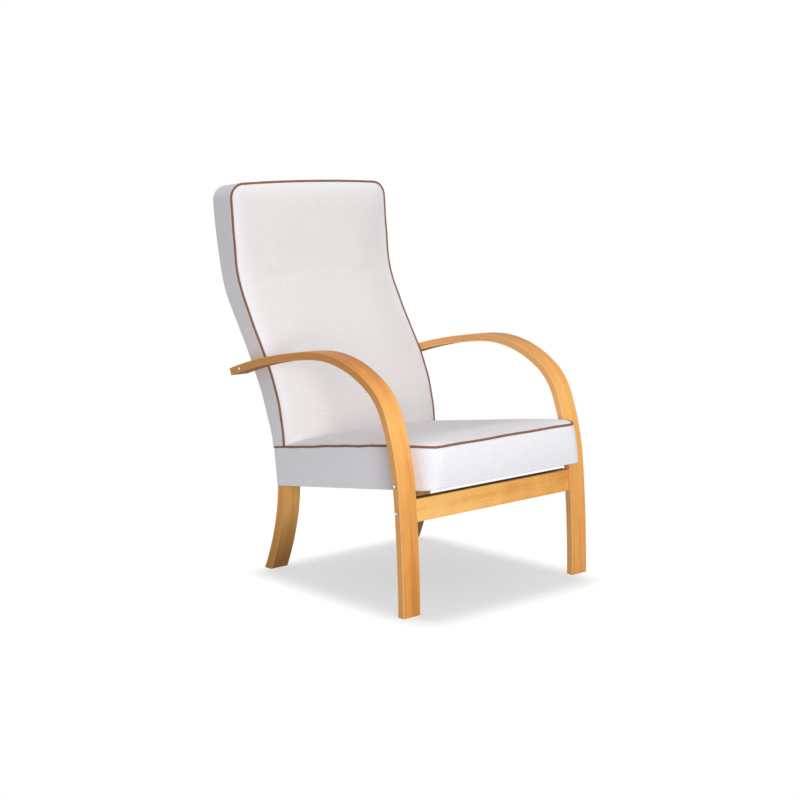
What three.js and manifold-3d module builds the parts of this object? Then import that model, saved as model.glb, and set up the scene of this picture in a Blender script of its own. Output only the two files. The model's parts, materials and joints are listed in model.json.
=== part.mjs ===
// High-backed fireside chair on bent laminated arms and legs. Millimetres, +Z up.
// The chair faces -Y. Right and left are the sitter's, so the right side is -X.
// The front feet's front faces stand at y = 0 until the whole chair is centred at the end.
import * as THREE from 'three';
import { mergeVertices } from 'three/addons/utils/BufferGeometryUtils.js';
import Module from 'manifold-3d';

const wasm = await Module();
wasm.setup();

// Clearances
const jointGap = 0.3; // between pieces that touch
const boreGap = 0.3; // round a bolt, nut or dowel in its hole
const softGap = 0.4; // round wood that passes through fabric or foam
const overrun = 10; // how far a cutter runs past what it cuts
const weldGap = 1e-4; // points this close are one point

// Arm and front leg, one bent lamination; the bends are those of its outer face
const overallWidth = 661;
const armWidth = 56;
const armThickness = 20;
const armLength = 1161; // the length that its runs share, before its rear end is cut off
const armTail = 57.6; // rear end, past the back's bolt
const armRunShares = [0.26, 0.164, 0.076, 0.208, 0.292];
const armTurnDegrees = [4.9, 17.8, 31.6, 40.6, 13.2];
const armFootDegrees = 0.9;
const edgeRound = 1.8;

// Front rail
const railHeight = 57;
const railThickness = 25;
const railDrop = 26.5; // top edge below the seat's lower front edge
const railSetback = 3.5; // behind the legs' front faces

// Seat box, tilted back; its frame starts at the lower front edge
const seatOverhang = 30; // lower front edge, ahead of the front feet
const seatFrontHeight = 309;
const seatTiltDegrees = 7.4;
const seatDepth = 592;
const seatSeamHeight = 102;
const seatSeamBow = 6; // how far the side seams rise between their ends
const seatNoseLean = 9; // how far the front seam overhangs the lower edge
const seatNoseBulge = 3;
const seatCornerTop = 56;
const seatCornerBottom = 30;
const seatRearCorner = 7;
const seatEdgeRise = 9;
const seatEdgeRun = 46;
const seatDome = 5;

// Fabric and piping
const coverThickness = 1.6;
const pipingRadius = 2.4;
const seamNotch = 4.6;
const seamDrop = 3.1;
const notchFloorShare = 0.84; // how deep the fold beside the piping lies, of the drop

// Pad shape shared by the seat and the back
const leastCornerShare = 0.3; // smallest corner of an inner ring
const wallLevelShares = [0, 0.5];
const panelInsetShares = [0.12, 0.35, 1, 2.2]; // rings over the crown, in edge runs

// Rear leg and back upright, one bent lamination; the bends are those of its rear face
const rearLegWidth = 57;
const rearLegThickness = 25;
const rearLegSetIn = 0.7; // rear face ahead of the cover's rear, at the seat's underside
const uprightSetIn = 6.8; // rear face ahead of the back's rear line
const uprightTopGap = 43; // short of the back's top
const lowerLegLengthShare = 1.047; // of the height of the seat's rear edge
const lowerLegRunShares = [0.3, 0.7];
const lowerLegTurnDegrees = [10.8, 15.4];

// Back pad
const backRearLength = 741;
const backRearRunShares = [0.09, 0.12, 0.36, 0.08, 0.35];
const backRearTurnDegrees = [20.1, -3.6, 12.8, -19.5, -13.6];
const backRearDegrees = 6.3;
const backBaseDepth = 45;
const backFrontLengthShare = 0.98921; // of the rear line's length
const backFrontRunShares = [0.172, 0.206, 0.237, 0.092, 0.293];
const backFrontTurnDegrees = [15.1, 15.2, -8.3, -18.3, -4.7];
const backFrontDegrees = 3.7;
const backCorner = 50;
const backEdgeRise = 9;
const backEdgeRun = 48;
const backDome = 5;
const backPanelThickness = 5;
const backTuckShare = 0.05; // how far the back goes down past the seat's seam, before it is cut to the seat

// Seat frame
const seatRailHeight = 60;
const seatRailThickness = 21;
const seatRailBase = 4; // above the cover's lower edge
const seatFrameNose = 22.5; // frame behind the cover's lower front edge
const cornerBlockLeg = 55;
const cornerBlockHeight = 28;
const webbingWidth = 50;
const webbingThickness = 2;
const webbingCount = 4;
const dustCoverThickness = 1.2;

// Back frame
const backRailHeight = 55;
const backRailThickness = 20;
const backTopRailDrop = 45; // rails' middles, along the upright: below its top end
const backLumbarRailRise = 237; // and above the seat's seam
const backBottomRailRise = 59;
const backWebbingShares = [0.3, 0.52, 0.68, 0.84];

// Fasteners
const boltRadius = 3;
const boltHeadRadius = 5.5;
const boltHeadHeight = 3.2;
const socketRadius = 1.9;
const socketDepth = 1.6;
const seatBoltRise = 17.5; // above the cover's lower edge
const teeFlangeRadius = 9;
const teeFlangeThickness = 1.5;
const teeBarrelRadius = 4.5;
const teeBarrelLength = 9;
const nutRadius = 5;
const nutLength = 16;
const nutReach = 30; // bolt's reach into the piece that holds a cross nut
const nutInset = 2; // cross nut's end below the surface
const dowelRadius = 4;
const dowelLength = 50;
const dowelSpread = 36;
const legBoltShort = 2; // bolt's tip behind the rear rail's front face
const legBoltSpread = 32;

// Faceting
const degreesPerFacet = 4.5;
const cornerFacets = 6;
const edgeFacets = 9;
const roundFacets = 10;
const domeFacets = 3;
const pipingFacets = 7;

const radians = THREE.MathUtils.degToRad;
const sideX = overallWidth / 2 - armWidth - jointGap; // outer face of the cover
const legSideX = sideX - coverThickness - jointGap; // outer face of the rear legs and seat frame
const sides = [
  { name: 'right', sign: -1 },
  { name: 'left', sign: 1 },
];

const beech = { color: 0xd39a57, roughness: 0.45, metalness: 0 };
const frameWood = { color: 0xc9a878, roughness: 0.8, metalness: 0 };
const fabric = { color: 0xe2dedb, roughness: 0.95, metalness: 0 };
const pipingCord = { color: 0x7a4c35, roughness: 0.7, metalness: 0 };
const foam = { color: 0xefe6c8, roughness: 1, metalness: 0 };
const strap = { color: 0x4a4440, roughness: 0.9, metalness: 0 };
const zinc = { color: 0xc4c6c8, roughness: 0.3, metalness: 1 };

// Solids and cuts

function toSolid(geometry) {
  const bare = geometry.clone();
  for (const name of Object.keys(bare.attributes)) {
    if (name !== 'position') bare.deleteAttribute(name);
  }
  const merged = mergeVertices(bare, weldGap);
  return new wasm.Manifold(new wasm.Mesh({
    numProp: 3,
    vertProperties: new Float32Array(merged.attributes.position.array),
    triVerts: new Uint32Array(merged.index.array),
  }));
}

function toGeometry(solid) {
  const { vertProperties, triVerts } = solid.getMesh();
  const geometry = new THREE.BufferGeometry();
  geometry.setAttribute('position', new THREE.BufferAttribute(vertProperties, 3));
  geometry.setIndex(new THREE.BufferAttribute(triVerts, 1));
  const flat = geometry.toNonIndexed();
  flat.computeVertexNormals();
  return flat;
}

// Cuts a piece and keeps its main body, so no offcut is left
function cut(geometry, ...cutters) {
  let solid = toSolid(geometry);
  for (const cutter of cutters) solid = solid.subtract(toSolid(cutter));
  const bodies = solid.decompose().sort((a, b) => b.volume() - a.volume());
  return toGeometry(bodies[0]);
}

// What of a piece lies inside another
function keepWithin(geometry, keeper) {
  return toGeometry(toSolid(geometry).intersect(toSolid(keeper)));
}

// Rings of points, joined one to the next and closed at each end
function loft(rings, capFaces = hubFaces) {
  const count = rings[0].length;
  const points = rings.flat();
  const index = [];
  for (let r = 0; r < rings.length - 1; r += 1) {
    for (let i = 0; i < count; i += 1) {
      const j = (i + 1) % count;
      const [a, b] = [r * count + i, r * count + j];
      index.push(a, b, b + count, a, b + count, a + count);
    }
  }
  const lastRing = (rings.length - 1) * count;
  for (const [a, b, c] of capFaces(count, points, 0)) index.push(a, c, b);
  for (const [a, b, c] of capFaces(count, points, lastRing)) index.push(a, b, c);
  const geometry = new THREE.BufferGeometry();
  const values = points.flatMap((p) => [p.x, p.y, p.z]);
  geometry.setAttribute('position', new THREE.Float32BufferAttribute(values, 3));
  geometry.setIndex(index);
  const flat = geometry.toNonIndexed();
  flat.computeVertexNormals();
  return flat;
}

// A fan about the middle of a ring
function hubFaces(count, points, start) {
  const centre = new THREE.Vector3();
  for (let i = 0; i < count; i += 1) centre.addScaledVector(points[start + i], 1 / count);
  points.push(centre);
  const hub = points.length - 1;
  return Array.from({ length: count }, (_, i) => [hub, start + i, start + ((i + 1) % count)]);
}

// Rungs across a pad's ring, from its right edge to its left, so the middle bends with its sides
function rungFaces(count, points, start) {
  const faces = [];
  const rungs = 2 * cornerFacets + edgeFacets;
  const at = (i) => start + ((i + count) % count);
  const across = (i) => at(count - edgeFacets - i);
  const fan = (hub, from, steps) => {
    for (let i = 0; i < steps; i += 1) faces.push([hub, at(from + i), at(from + i + 1)]);
  };
  fan(at(1), count - edgeFacets - 1, edgeFacets + 1);
  for (let i = 1; i < rungs - 1; i += 1) {
    faces.push([at(i), at(i + 1), across(i + 1)], [at(i), across(i + 1), across(i)]);
  }
  fan(at(rungs - 1), rungs, edgeFacets + 1);
  return faces;
}

function box(width, depth, height, x, y, z) {
  return new THREE.BoxGeometry(width, depth, height).translate(x, y, z);
}

// A rod along X, Y or Z, centred on a point
function rod(axis, radius, length, centre) {
  const geometry = new THREE.CylinderGeometry(radius, radius, length, roundFacets);
  if (axis === 'x') geometry.rotateZ(Math.PI / 2);
  if (axis === 'z') geometry.rotateX(Math.PI / 2);
  return geometry.translate(centre.x, centre.y, centre.z);
}

// Bend lines in the YZ plane: runs of steady curvature, each with its length and turn

function bendLine(start, degrees, length, runShares, turnDegrees) {
  const points = [{ y: start.y, z: start.z, heading: radians(degrees) }];
  runShares.forEach((share, i) => {
    const steps = Math.max(3, Math.ceil(Math.abs(turnDegrees[i]) / degreesPerFacet));
    for (let s = 0; s < steps; s += 1) {
      const from = points.at(-1);
      const turn = radians(turnDegrees[i]) / steps;
      const middle = from.heading + turn / 2;
      const step = (length * share) / steps;
      points.push({
        y: from.y + step * Math.sin(middle),
        z: from.z + step * Math.cos(middle),
        heading: from.heading + turn,
      });
    }
  });
  return points;
}

function offsetPoint(point, distance) {
  return {
    y: point.y + distance * Math.cos(point.heading),
    z: point.z - distance * Math.sin(point.heading),
    heading: point.heading,
  };
}

const offsetLine = (line, distance) => line.map((point) => offsetPoint(point, distance));

// Slides an end along its own heading to the given height
function landAt(point, height) {
  const run = (height - point.z) / Math.cos(point.heading);
  return { y: point.y + run * Math.sin(point.heading), z: height, heading: point.heading };
}

function landed(line, height) {
  return [landAt(line[0], height), ...line.slice(1)];
}

function lineLength(line) {
  const steps = line.slice(1).map((p, i) => Math.hypot(p.y - line[i].y, p.z - line[i].z));
  return steps.reduce((sum, step) => sum + step, 0);
}

// Point at a share of a line's length
function alongLine(line, share) {
  const lengths = [0];
  for (let i = 1; i < line.length; i += 1) {
    lengths.push(lengths[i - 1] + Math.hypot(line[i].y - line[i - 1].y, line[i].z - line[i - 1].z));
  }
  const target = share * lengths.at(-1);
  let i = 1;
  while (i < line.length - 1 && lengths[i] < target) i += 1;
  const t = (target - lengths[i - 1]) / (lengths[i] - lengths[i - 1]);
  return {
    y: THREE.MathUtils.lerp(line[i - 1].y, line[i].y, t),
    z: THREE.MathUtils.lerp(line[i - 1].z, line[i].z, t),
    heading: THREE.MathUtils.lerp(line[i - 1].heading, line[i].heading, t),
  };
}

// The stretch of a line between two shares of its length, with the bends between them
function stretch(line, fromShare, toShare) {
  const [from, to] = [alongLine(line, fromShare), alongLine(line, toShare)];
  const inside = line.filter((p) => (p.z - from.z) * (to.z - p.z) > 0);
  return [from, ...inside, to];
}

function alongHeading(point, distance) {
  return {
    y: point.y + distance * Math.sin(point.heading),
    z: point.z + distance * Math.cos(point.heading),
    heading: point.heading,
  };
}

// A line as far as it meets another, and a tail past that
function upTo(line, other, tail) {
  for (let i = 1; i < line.length; i += 1) {
    const spot = crossingOrNone(line.slice(i - 1, i + 1), other);
    if (spot) {
      let left = tail;
      const kept = [...line.slice(0, i)];
      let from = { ...spot, heading: line[i - 1].heading };
      for (let j = i; j < line.length; j += 1) {
        const step = Math.hypot(line[j].y - from.y, line[j].z - from.z);
        if (step > left) {
          const t = left / step;
          const end = { y: from.y + t * (line[j].y - from.y), z: from.z + t * (line[j].z - from.z) };
          return [...kept, { ...end, heading: line[j].heading }];
        }
        left -= step;
        from = line[j];
        kept.push(line[j]);
      }
    }
  }
  throw new Error('the arm does not reach the upright');
}

// Where two lines in the YZ plane cross
function crossing(lineA, lineB) {
  const spot = crossingOrNone(lineA, lineB);
  if (!spot) throw new Error('the lines do not cross');
  return spot;
}

function crossingOrNone(lineA, lineB) {
  for (let i = 1; i < lineA.length; i += 1) {
    for (let j = 1; j < lineB.length; j += 1) {
      const [p, q, r, s] = [lineA[i - 1], lineA[i], lineB[j - 1], lineB[j]];
      const d = (q.y - p.y) * (s.z - r.z) - (q.z - p.z) * (s.y - r.y);
      const t = ((r.y - p.y) * (s.z - r.z) - (r.z - p.z) * (s.y - r.y)) / d;
      const u = ((r.y - p.y) * (q.z - p.z) - (r.z - p.z) * (q.y - p.y)) / d;
      if (t >= 0 && t <= 1 && u >= 0 && u <= 1) {
        return { y: p.y + t * (q.y - p.y), z: p.z + t * (q.z - p.z), heading: s.heading };
      }
    }
  }
  return null;
}

// A bent bar: the strip between two lines, extruded across its width with eased edges
const sidewaysBasis = new THREE.Matrix4().makeBasis(
  new THREE.Vector3(0, 1, 0),
  new THREE.Vector3(0, 0, 1),
  new THREE.Vector3(1, 0, 0),
);

function bentBar(frontLine, rearLine, width, centreX, ease) {
  const outline = [...frontLine, ...[...rearLine].reverse()];
  const shape = new THREE.Shape(outline.map((p) => new THREE.Vector2(p.y, p.z)));
  const geometry = new THREE.ExtrudeGeometry(shape, {
    depth: width - 2 * ease,
    bevelEnabled: ease > 0,
    bevelThickness: ease,
    bevelSize: ease,
    bevelOffset: -ease,
    bevelSegments: 1,
  });
  geometry.translate(0, 0, ease - width / 2);
  return geometry.applyMatrix4(sidewaysBasis).translate(centreX, 0, 0);
}

// The seat's own frame: x across, y back along the seat, z up through it
const seatTilt = radians(seatTiltDegrees);
const seatGroup = new THREE.Group();
seatGroup.position.set(0, -seatOverhang, seatFrontHeight);
seatGroup.rotation.x = -seatTilt;
seatGroup.updateMatrix();
const toSeat = seatGroup.matrix.clone().invert();

function seatPoint(y, z) {
  const p = new THREE.Vector3(0, y, z).applyMatrix4(seatGroup.matrix);
  return { y: p.y, z: p.z };
}

// The back pad's lines
const backFrontLength = backRearLength * backFrontLengthShare;
const backRearLine = bendLine(
  seatPoint(seatDepth, seatSeamHeight), backRearDegrees, backRearLength,
  backRearRunShares, backRearTurnDegrees,
);
const backFrontLine = bendLine(
  seatPoint(seatDepth - backBaseDepth, seatSeamHeight), backFrontDegrees, backFrontLength,
  backFrontRunShares, backFrontTurnDegrees,
);
const backHeight = backFrontLength;

// The rear leg's lines, from the floor to near the top of the back, and the upright's part of them
const legAnchor = seatPoint(seatDepth - coverThickness - rearLegSetIn, 0);
const lowerLegLength = legAnchor.z * lowerLegLengthShare;
const lowerBends = bendLine(
  { y: legAnchor.y, z: 0 }, 0, lowerLegLength, lowerLegRunShares, lowerLegTurnDegrees,
);
const lowerLine = lowerBends.map((p) => ({ y: p.y, z: legAnchor.z - p.z, heading: -p.heading }));
const uprightShare = 1 - uprightTopGap / backRearLength;
const uprightRear = [
  { ...legAnchor, heading: backRearLine[0].heading / 2 },
  ...stretch(offsetLine(backRearLine, -uprightSetIn), 0, uprightShare),
];
const uprightLength = lineLength(uprightRear);
const uprightSeamLength = lineLength(uprightRear.slice(0, 2)); // as far up as the seat's seam
const uprightFront = offsetLine(uprightRear, -rearLegThickness);
const legRear = landed([...lowerLine.slice(1).reverse(), ...uprightRear], 0);
const legFront = landed(offsetLine(legRear, -rearLegThickness), 0);

// The arm's lines, cut off past the bolt in the upright
const armBends = bendLine({ y: 0, z: 0 }, armFootDegrees, armLength, armRunShares, armTurnDegrees);
const armLongest = [...armBends, alongHeading(armBends.at(-1), armLength)];
const armOuter = landed(upTo(armLongest, offsetLine(uprightRear, -rearLegThickness / 2), armTail), 0);
const armInner = landed(offsetLine(armOuter, armThickness), 0);
const armCentre = landed(offsetLine(armOuter, armThickness / 2), 0);

// Fastener places, each where the pieces it joins lie over each other
const railMiddleZ = seatFrontHeight - railDrop - railHeight / 2;
const railCentre = crossing(armCentre, [
  { y: -overallWidth, z: railMiddleZ },
  { y: overallWidth, z: railMiddleZ },
]);
const seatBoltLine = [seatPoint(-seatDepth, seatBoltRise), seatPoint(seatDepth, seatBoltRise)];
const seatBoltSpot = crossing(armCentre, seatBoltLine);
const backBoltSpot = crossing(armCentre, offsetLine(uprightRear, -rearLegThickness / 2));

// Pads: u across, v along, w out towards the sitter

// A rounded rectangle, from its rear right corner round the front, as seen from outside
function padOutline({ halfWidth, low, high, lowCorner, highCorner }, inset) {
  const points = [];
  const corner = (cu, cv, radius, from) => {
    for (let i = 0; i <= cornerFacets; i += 1) {
      const angle = from + (i / cornerFacets) * (Math.PI / 2);
      points.push({ u: cu + radius * Math.cos(angle), v: cv + radius * Math.sin(angle) });
    }
  };
  const edge = (end) => {
    const start = points.at(-1);
    for (let i = 1; i < edgeFacets; i += 1) {
      const t = i / edgeFacets;
      points.push({ u: THREE.MathUtils.lerp(start.u, end.u, t), v: THREE.MathUtils.lerp(start.v, end.v, t) });
    }
  };
  const half = halfWidth - inset;
  const lowRadius = Math.max(lowCorner - inset, lowCorner * leastCornerShare);
  const highRadius = Math.max(highCorner - inset, highCorner * leastCornerShare);
  const [v0, v1] = [low + inset, high - inset];
  corner(-half + highRadius, v1 - highRadius, highRadius, Math.PI / 2);
  edge({ u: -half, v: v0 + lowRadius });
  corner(-half + lowRadius, v0 + lowRadius, lowRadius, Math.PI);
  edge({ u: half - lowRadius, v: v0 });
  corner(half - lowRadius, v0 + lowRadius, lowRadius, -Math.PI / 2);
  edge({ u: half, v: v1 - highRadius });
  corner(half - highRadius, v1 - highRadius, highRadius, 0);
  edge({ u: -half + highRadius, v: v1 });
  return points;
}

// The pad's outside as rings from its open edge to near its middle, drawn in by an offset
function padRings(pad, offset, openBy = 0) {
  const rings = [];
  const ring = (level, inset, lift) => {
    const outline = padOutline(pad.outline(level), inset);
    rings.push(outline.map(({ u, v }) => pad.place(u, v, level * pad.seam(u, v) + lift)));
  };
  for (const level of wallLevelShares) ring(level, offset, level > 0 ? 0 : -openBy);
  ring(1, offset, -seamDrop - offset);
  ring(1, seamNotch + offset, -seamDrop * notchFloorShare - offset);
  for (const share of panelInsetShares) {
    const inset = seamNotch + share * pad.edgeRun;
    const rise = pad.edgeRise * Math.sqrt(1 - (1 - Math.min(share, 1)) ** 2) + pad.dome * domeShare(share);
    ring(1, inset + offset, rise - offset);
  }
  return rings;
}
const domeShare = (share) => Math.min(share / panelInsetShares.at(-1), 1);

const padSolid = (pad, offset) => loft(padRings(pad, offset), rungFaces);

function padShell(pad) {
  return cut(padSolid(pad, 0), loft(padRings(pad, coverThickness, overrun), rungFaces));
}

// A cord of steady radius through a row of points, flat at its ends
function cordAlong(points, radius) {
  const up = new THREE.Vector3();
  const rings = points.map((point, i) => {
    const before = points[Math.max(i - 1, 0)].centre;
    const after = points[Math.min(i + 1, points.length - 1)].centre;
    const along = after.clone().sub(before).normalize();
    up.copy(point.outward).addScaledVector(along, -point.outward.dot(along)).normalize();
    const across = new THREE.Vector3().crossVectors(along, up);
    const ring = [];
    for (let k = 0; k < pipingFacets; k += 1) {
      const angle = (k / pipingFacets) * Math.PI * 2;
      ring.push(point.centre.clone()
        .addScaledVector(up, radius * Math.cos(angle))
        .addScaledVector(across, -radius * Math.sin(angle)));
    }
    return ring;
  });
  return loft(rings.reverse());
}

// The piping's centres round a pad's seam, from corner to corner past the edge left open
function seamPoints(pad, openEdge) {
  const outline = padOutline(pad.outline(1), pipingRadius);
  const quarter = cornerFacets + edgeFacets;
  const first = openEdge === 'high' ? cornerFacets : 2 * quarter + cornerFacets;
  const count = 2 * quarter + edgeFacets + 1;
  const points = [];
  for (let i = 0; i < count; i += 1) {
    const { u, v } = outline[(first + i) % outline.length];
    const w = pad.seam(u, v);
    const centre = pad.place(u, v, w);
    points.push({ centre, outward: pad.place(u, v, w + pipingRadius).sub(centre).normalize() });
  }
  return points;
}

// Seat pad, in the seat's own frame
const seatPad = {
  edgeRise: seatEdgeRise,
  edgeRun: seatEdgeRun,
  dome: seatDome,
  outline: (level) => ({
    halfWidth: sideX,
    low: -seatNoseLean * level - seatNoseBulge * Math.sin(Math.PI * Math.min(level, 1)),
    high: seatDepth,
    lowCorner: THREE.MathUtils.lerp(seatCornerBottom, seatCornerTop, level),
    highCorner: seatRearCorner,
  }),
  seam: (u, v) => {
    const along = THREE.MathUtils.clamp(v / seatDepth, 0, 1);
    const sideness = Math.abs(u / sideX) ** 4;
    return seatSeamHeight + seatSeamBow * sideness * Math.sin(Math.PI * Math.sqrt(along));
  },
  place: (u, v, w) => new THREE.Vector3(u, v, w),
};

// Back pad: v runs up between the front and rear lines, w from the rear line to the front one
const backPad = {
  edgeRise: backEdgeRise,
  edgeRun: backEdgeRun,
  dome: backDome,
  outline: () => ({
    halfWidth: sideX,
    low: -backHeight * backTuckShare,
    high: backHeight,
    lowCorner: seatRearCorner,
    highCorner: backCorner,
  }),
  seam: (u, v) => backSection(v).depth,
  place: (u, v, w) => {
    const { rear, depth, y, z } = backSection(v);
    return new THREE.Vector3(u, rear.y + (y * w) / depth, rear.z + (z * w) / depth);
  },
};

function backSection(v) {
  const share = v / backHeight;
  const inside = THREE.MathUtils.clamp(share, 0, 1);
  const rear = alongLine(backRearLine, inside);
  const front = alongLine(backFrontLine, inside);
  for (const [point, length] of [[rear, backRearLength], [front, backFrontLength]]) {
    const past = (share - inside) * length;
    point.y += past * Math.sin(point.heading);
    point.z += past * Math.cos(point.heading);
  }
  const [y, z] = [front.y - rear.y, front.z - rear.z];
  return { rear, front, y, z, depth: Math.hypot(y, z) };
}

// Wood that passes through the upholstery, and the same grown by a clearance
function rearLegBar(sign, grow) {
  const rear = offsetLine(legRear, grow);
  const front = offsetLine(legFront, -grow);
  const top = (line) => {
    const end = line.at(-1);
    return [...line, { y: end.y + grow * Math.sin(end.heading), z: end.z + grow * Math.cos(end.heading) }];
  };
  const lines = grow > 0 ? [top(front), top(rear)] : [front, rear];
  const centreX = sign * (legSideX - rearLegWidth / 2);
  return bentBar(lines[0], lines[1], rearLegWidth + 2 * grow, centreX, grow > 0 ? 0 : edgeRound);
}

// Fasteners

// A domed socket head on a shank, head at the origin and shank along -X times its sign
function boltGeometry(sign, length) {
  const shank = length + jointGap;
  const profile = [new THREE.Vector2(0, -shank), new THREE.Vector2(boltRadius, -shank)];
  profile.push(new THREE.Vector2(boltRadius, 0), new THREE.Vector2(boltHeadRadius, 0));
  for (let i = 1; i <= domeFacets; i += 1) {
    const angle = (i / domeFacets) * (Math.PI / 2);
    const radius = Math.max(boltHeadRadius * Math.cos(angle), socketRadius);
    profile.push(new THREE.Vector2(radius, boltHeadHeight * Math.sin(angle)));
  }
  profile.push(new THREE.Vector2(socketRadius, boltHeadHeight - socketDepth));
  profile.push(new THREE.Vector2(0, boltHeadHeight - socketDepth));
  const geometry = new THREE.LatheGeometry(profile, roundFacets);
  return geometry.rotateZ(-sign * Math.PI / 2);
}

function teeNutGeometry(sign) {
  const bore = boltRadius + boreGap;
  const geometry = new THREE.LatheGeometry([
    new THREE.Vector2(bore, 0),
    new THREE.Vector2(teeFlangeRadius, 0),
    new THREE.Vector2(teeFlangeRadius, teeFlangeThickness),
    new THREE.Vector2(teeBarrelRadius, teeFlangeThickness),
    new THREE.Vector2(teeBarrelRadius, teeFlangeThickness + teeBarrelLength),
    new THREE.Vector2(bore, teeFlangeThickness + teeBarrelLength),
    new THREE.Vector2(bore, 0),
  ], roundFacets);
  return geometry.rotateZ(-sign * Math.PI / 2);
}

// The part
const chair = new THREE.Group();

function addPiece(parent, name, geometry, look) {
  const mesh = new THREE.Mesh(geometry, new THREE.MeshStandardMaterial(look));
  mesh.name = name;
  parent.add(mesh);
  return mesh;
}

const atX = (x, spot) => new THREE.Vector3(x, spot.y, spot.z);
const boltBore = boltRadius + boreGap;
const armFaceX = overallWidth / 2;
const railEndX = armFaceX - armWidth - jointGap;
const railFrontY = railCentre.y - armThickness / 2 + railSetback;
const railMiddleY = railFrontY + railThickness / 2;
const railBoltSpot = { y: railCentre.y, z: railMiddleZ };

const dowelHeights = [
  { name: 'upper', z: railMiddleZ + dowelSpread / 2 },
  { name: 'lower', z: railMiddleZ - dowelSpread / 2 },
];

function bore(x0, x1, spot, radius = boltBore) {
  return rod('x', radius, Math.abs(x1 - x0), atX((x0 + x1) / 2, spot));
}

function addArms() {
  for (const { name, sign } of sides) {
    const bar = bentBar(armOuter, armInner, armWidth, sign * (armFaceX - armWidth / 2), edgeRound);
    const [from, to] = [sign * (armFaceX - armWidth - overrun), sign * (armFaceX + overrun)];
    const bores = [railBoltSpot, seatBoltSpot, backBoltSpot].map((spot) => bore(from, to, spot));
    for (const { z } of dowelHeights) {
      const inner = sign * (armFaceX - armWidth);
      bores.push(bore(inner - sign * overrun, inner + sign * (dowelLength / 2 + boreGap),
        { y: railBoltSpot.y, z }, dowelRadius + boreGap));
    }
    addPiece(chair, `arm_leg_${name}`, cut(bar, ...bores), beech);
  }
}

function addFrontRail() {
  const shape = new THREE.Shape([
    new THREE.Vector2(-railEndX, -railHeight / 2),
    new THREE.Vector2(railEndX, -railHeight / 2),
    new THREE.Vector2(railEndX, railHeight / 2),
    new THREE.Vector2(-railEndX, railHeight / 2),
  ]);
  const rail = new THREE.ExtrudeGeometry(shape, {
    depth: railThickness - 2 * edgeRound,
    bevelThickness: edgeRound,
    bevelSize: edgeRound,
    bevelOffset: -edgeRound,
    bevelSegments: 1,
  });
  rail.translate(0, 0, edgeRound - railThickness / 2);
  rail.rotateX(Math.PI / 2).translate(0, railMiddleY, railMiddleZ);
  const cutters = [];
  for (const { sign } of sides) {
    const tip = sign * (railEndX - nutReach - nutRadius);
    cutters.push(bore(sign * (railEndX + overrun), tip, railBoltSpot));
    const spot = atX(sign * (railEndX - nutReach), { y: railMiddleY + railThickness / 2, z: railMiddleZ });
    cutters.push(rod('y', nutRadius + boreGap, 2 * (nutLength + nutInset), spot));
    for (const { z } of dowelHeights) {
      cutters.push(bore(sign * (railEndX + overrun), sign * (railEndX - dowelLength / 2 - boreGap),
        { y: railBoltSpot.y, z }, dowelRadius + boreGap));
    }
  }
  addPiece(chair, 'front_rail', cut(rail, ...cutters), beech);
}

function addRailFasteners() {
  for (const { name, sign } of sides) {
    const length = armWidth + jointGap + nutReach + nutRadius - jointGap * 2;
    const bolt = addPiece(chair, `rail_bolt_${name}`, boltGeometry(sign, length), zinc);
    bolt.position.set(sign * (armFaceX + jointGap), railBoltSpot.y, railBoltSpot.z);
    const centre = atX(sign * (railEndX - nutReach), {
      y: railMiddleY + railThickness / 2 - nutInset - nutLength / 2,
      z: railMiddleZ,
    });
    const nutBore = rod('x', boltBore, overrun * 2, atX(centre.x, railBoltSpot));
    const nut = cut(rod('y', nutRadius, nutLength, centre), nutBore);
    addPiece(chair, `rail_nut_${name}`, nut, zinc);
    for (const { name: level, z } of dowelHeights) {
      const middle = atX(sign * railEndX, { y: railBoltSpot.y, z });
      const dowel = rod('x', dowelRadius, dowelLength - jointGap, middle);
      addPiece(chair, `rail_dowel_${name}_${level}`, dowel, frameWood);
    }
  }
}

// Rear legs
const legFaceInSeat = Math.min(...legFront
  .map((p) => new THREE.Vector3(0, p.y, p.z).applyMatrix4(toSeat))
  .filter((p) => p.z > -seatRailHeight && p.z < seatSeamHeight + seatRailHeight)
  .map((p) => p.y));
const frameRear = legFaceInSeat - jointGap;
const grownCord = cordAlong(seamPoints(seatPad, 'high'), pipingRadius + softGap);
const pipingGroove = grownCord.applyMatrix4(seatGroup.matrix);

const legBoltHeights = [
  { name: 'upper', z: seatRailBase + seatRailHeight / 2 + legBoltSpread / 2 },
  { name: 'lower', z: seatRailBase + seatRailHeight / 2 - legBoltSpread / 2 },
];
// Where a line along the seat at the given height meets the leg's rear face
function legRearInSeat(z) {
  const rear = legRear.map((p) => new THREE.Vector3(0, p.y, p.z).applyMatrix4(toSeat));
  return crossing(rear, [{ y: -seatDepth, z }, { y: seatDepth * 2, z }]).y;
}
const legBoltHeadY = Math.min(...legBoltHeights.map(({ z }) => legRearInSeat(z))) - boltHeadHeight;
const legBoltLength = legBoltHeadY - (frameRear - seatRailThickness) - legBoltShort;
const legBoltHole = 2 * (legBoltLength + boreGap);
const legBoltX = legSideX - (rearLegWidth + seatRailThickness) / 2;
const backNutSink = rearLegWidth / 2;

function backNutAt(sign) {
  return atX(sign * (legSideX - backNutSink), backBoltSpot);
}

// A rod square to the upright's faces
function crossRod(radius, length, sign) {
  const geometry = new THREE.CylinderGeometry(radius, radius, length, roundFacets);
  geometry.rotateX(-backBoltSpot.heading);
  const spot = backNutAt(sign);
  return geometry.translate(spot.x, spot.y, spot.z);
}

// What lies outside the back cover's rounded top corners
function topCorners() {
  const low = backPad.place(0, backHeight - backCorner, 0).z - overrun;
  const block = box(overallWidth, backRearLength, backCorner * 2, 0, legRear.at(-1).y, low + backCorner);
  return toGeometry(toSolid(block).subtract(toSolid(padSolid(backPad, coverThickness + jointGap / 2))));
}

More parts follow.
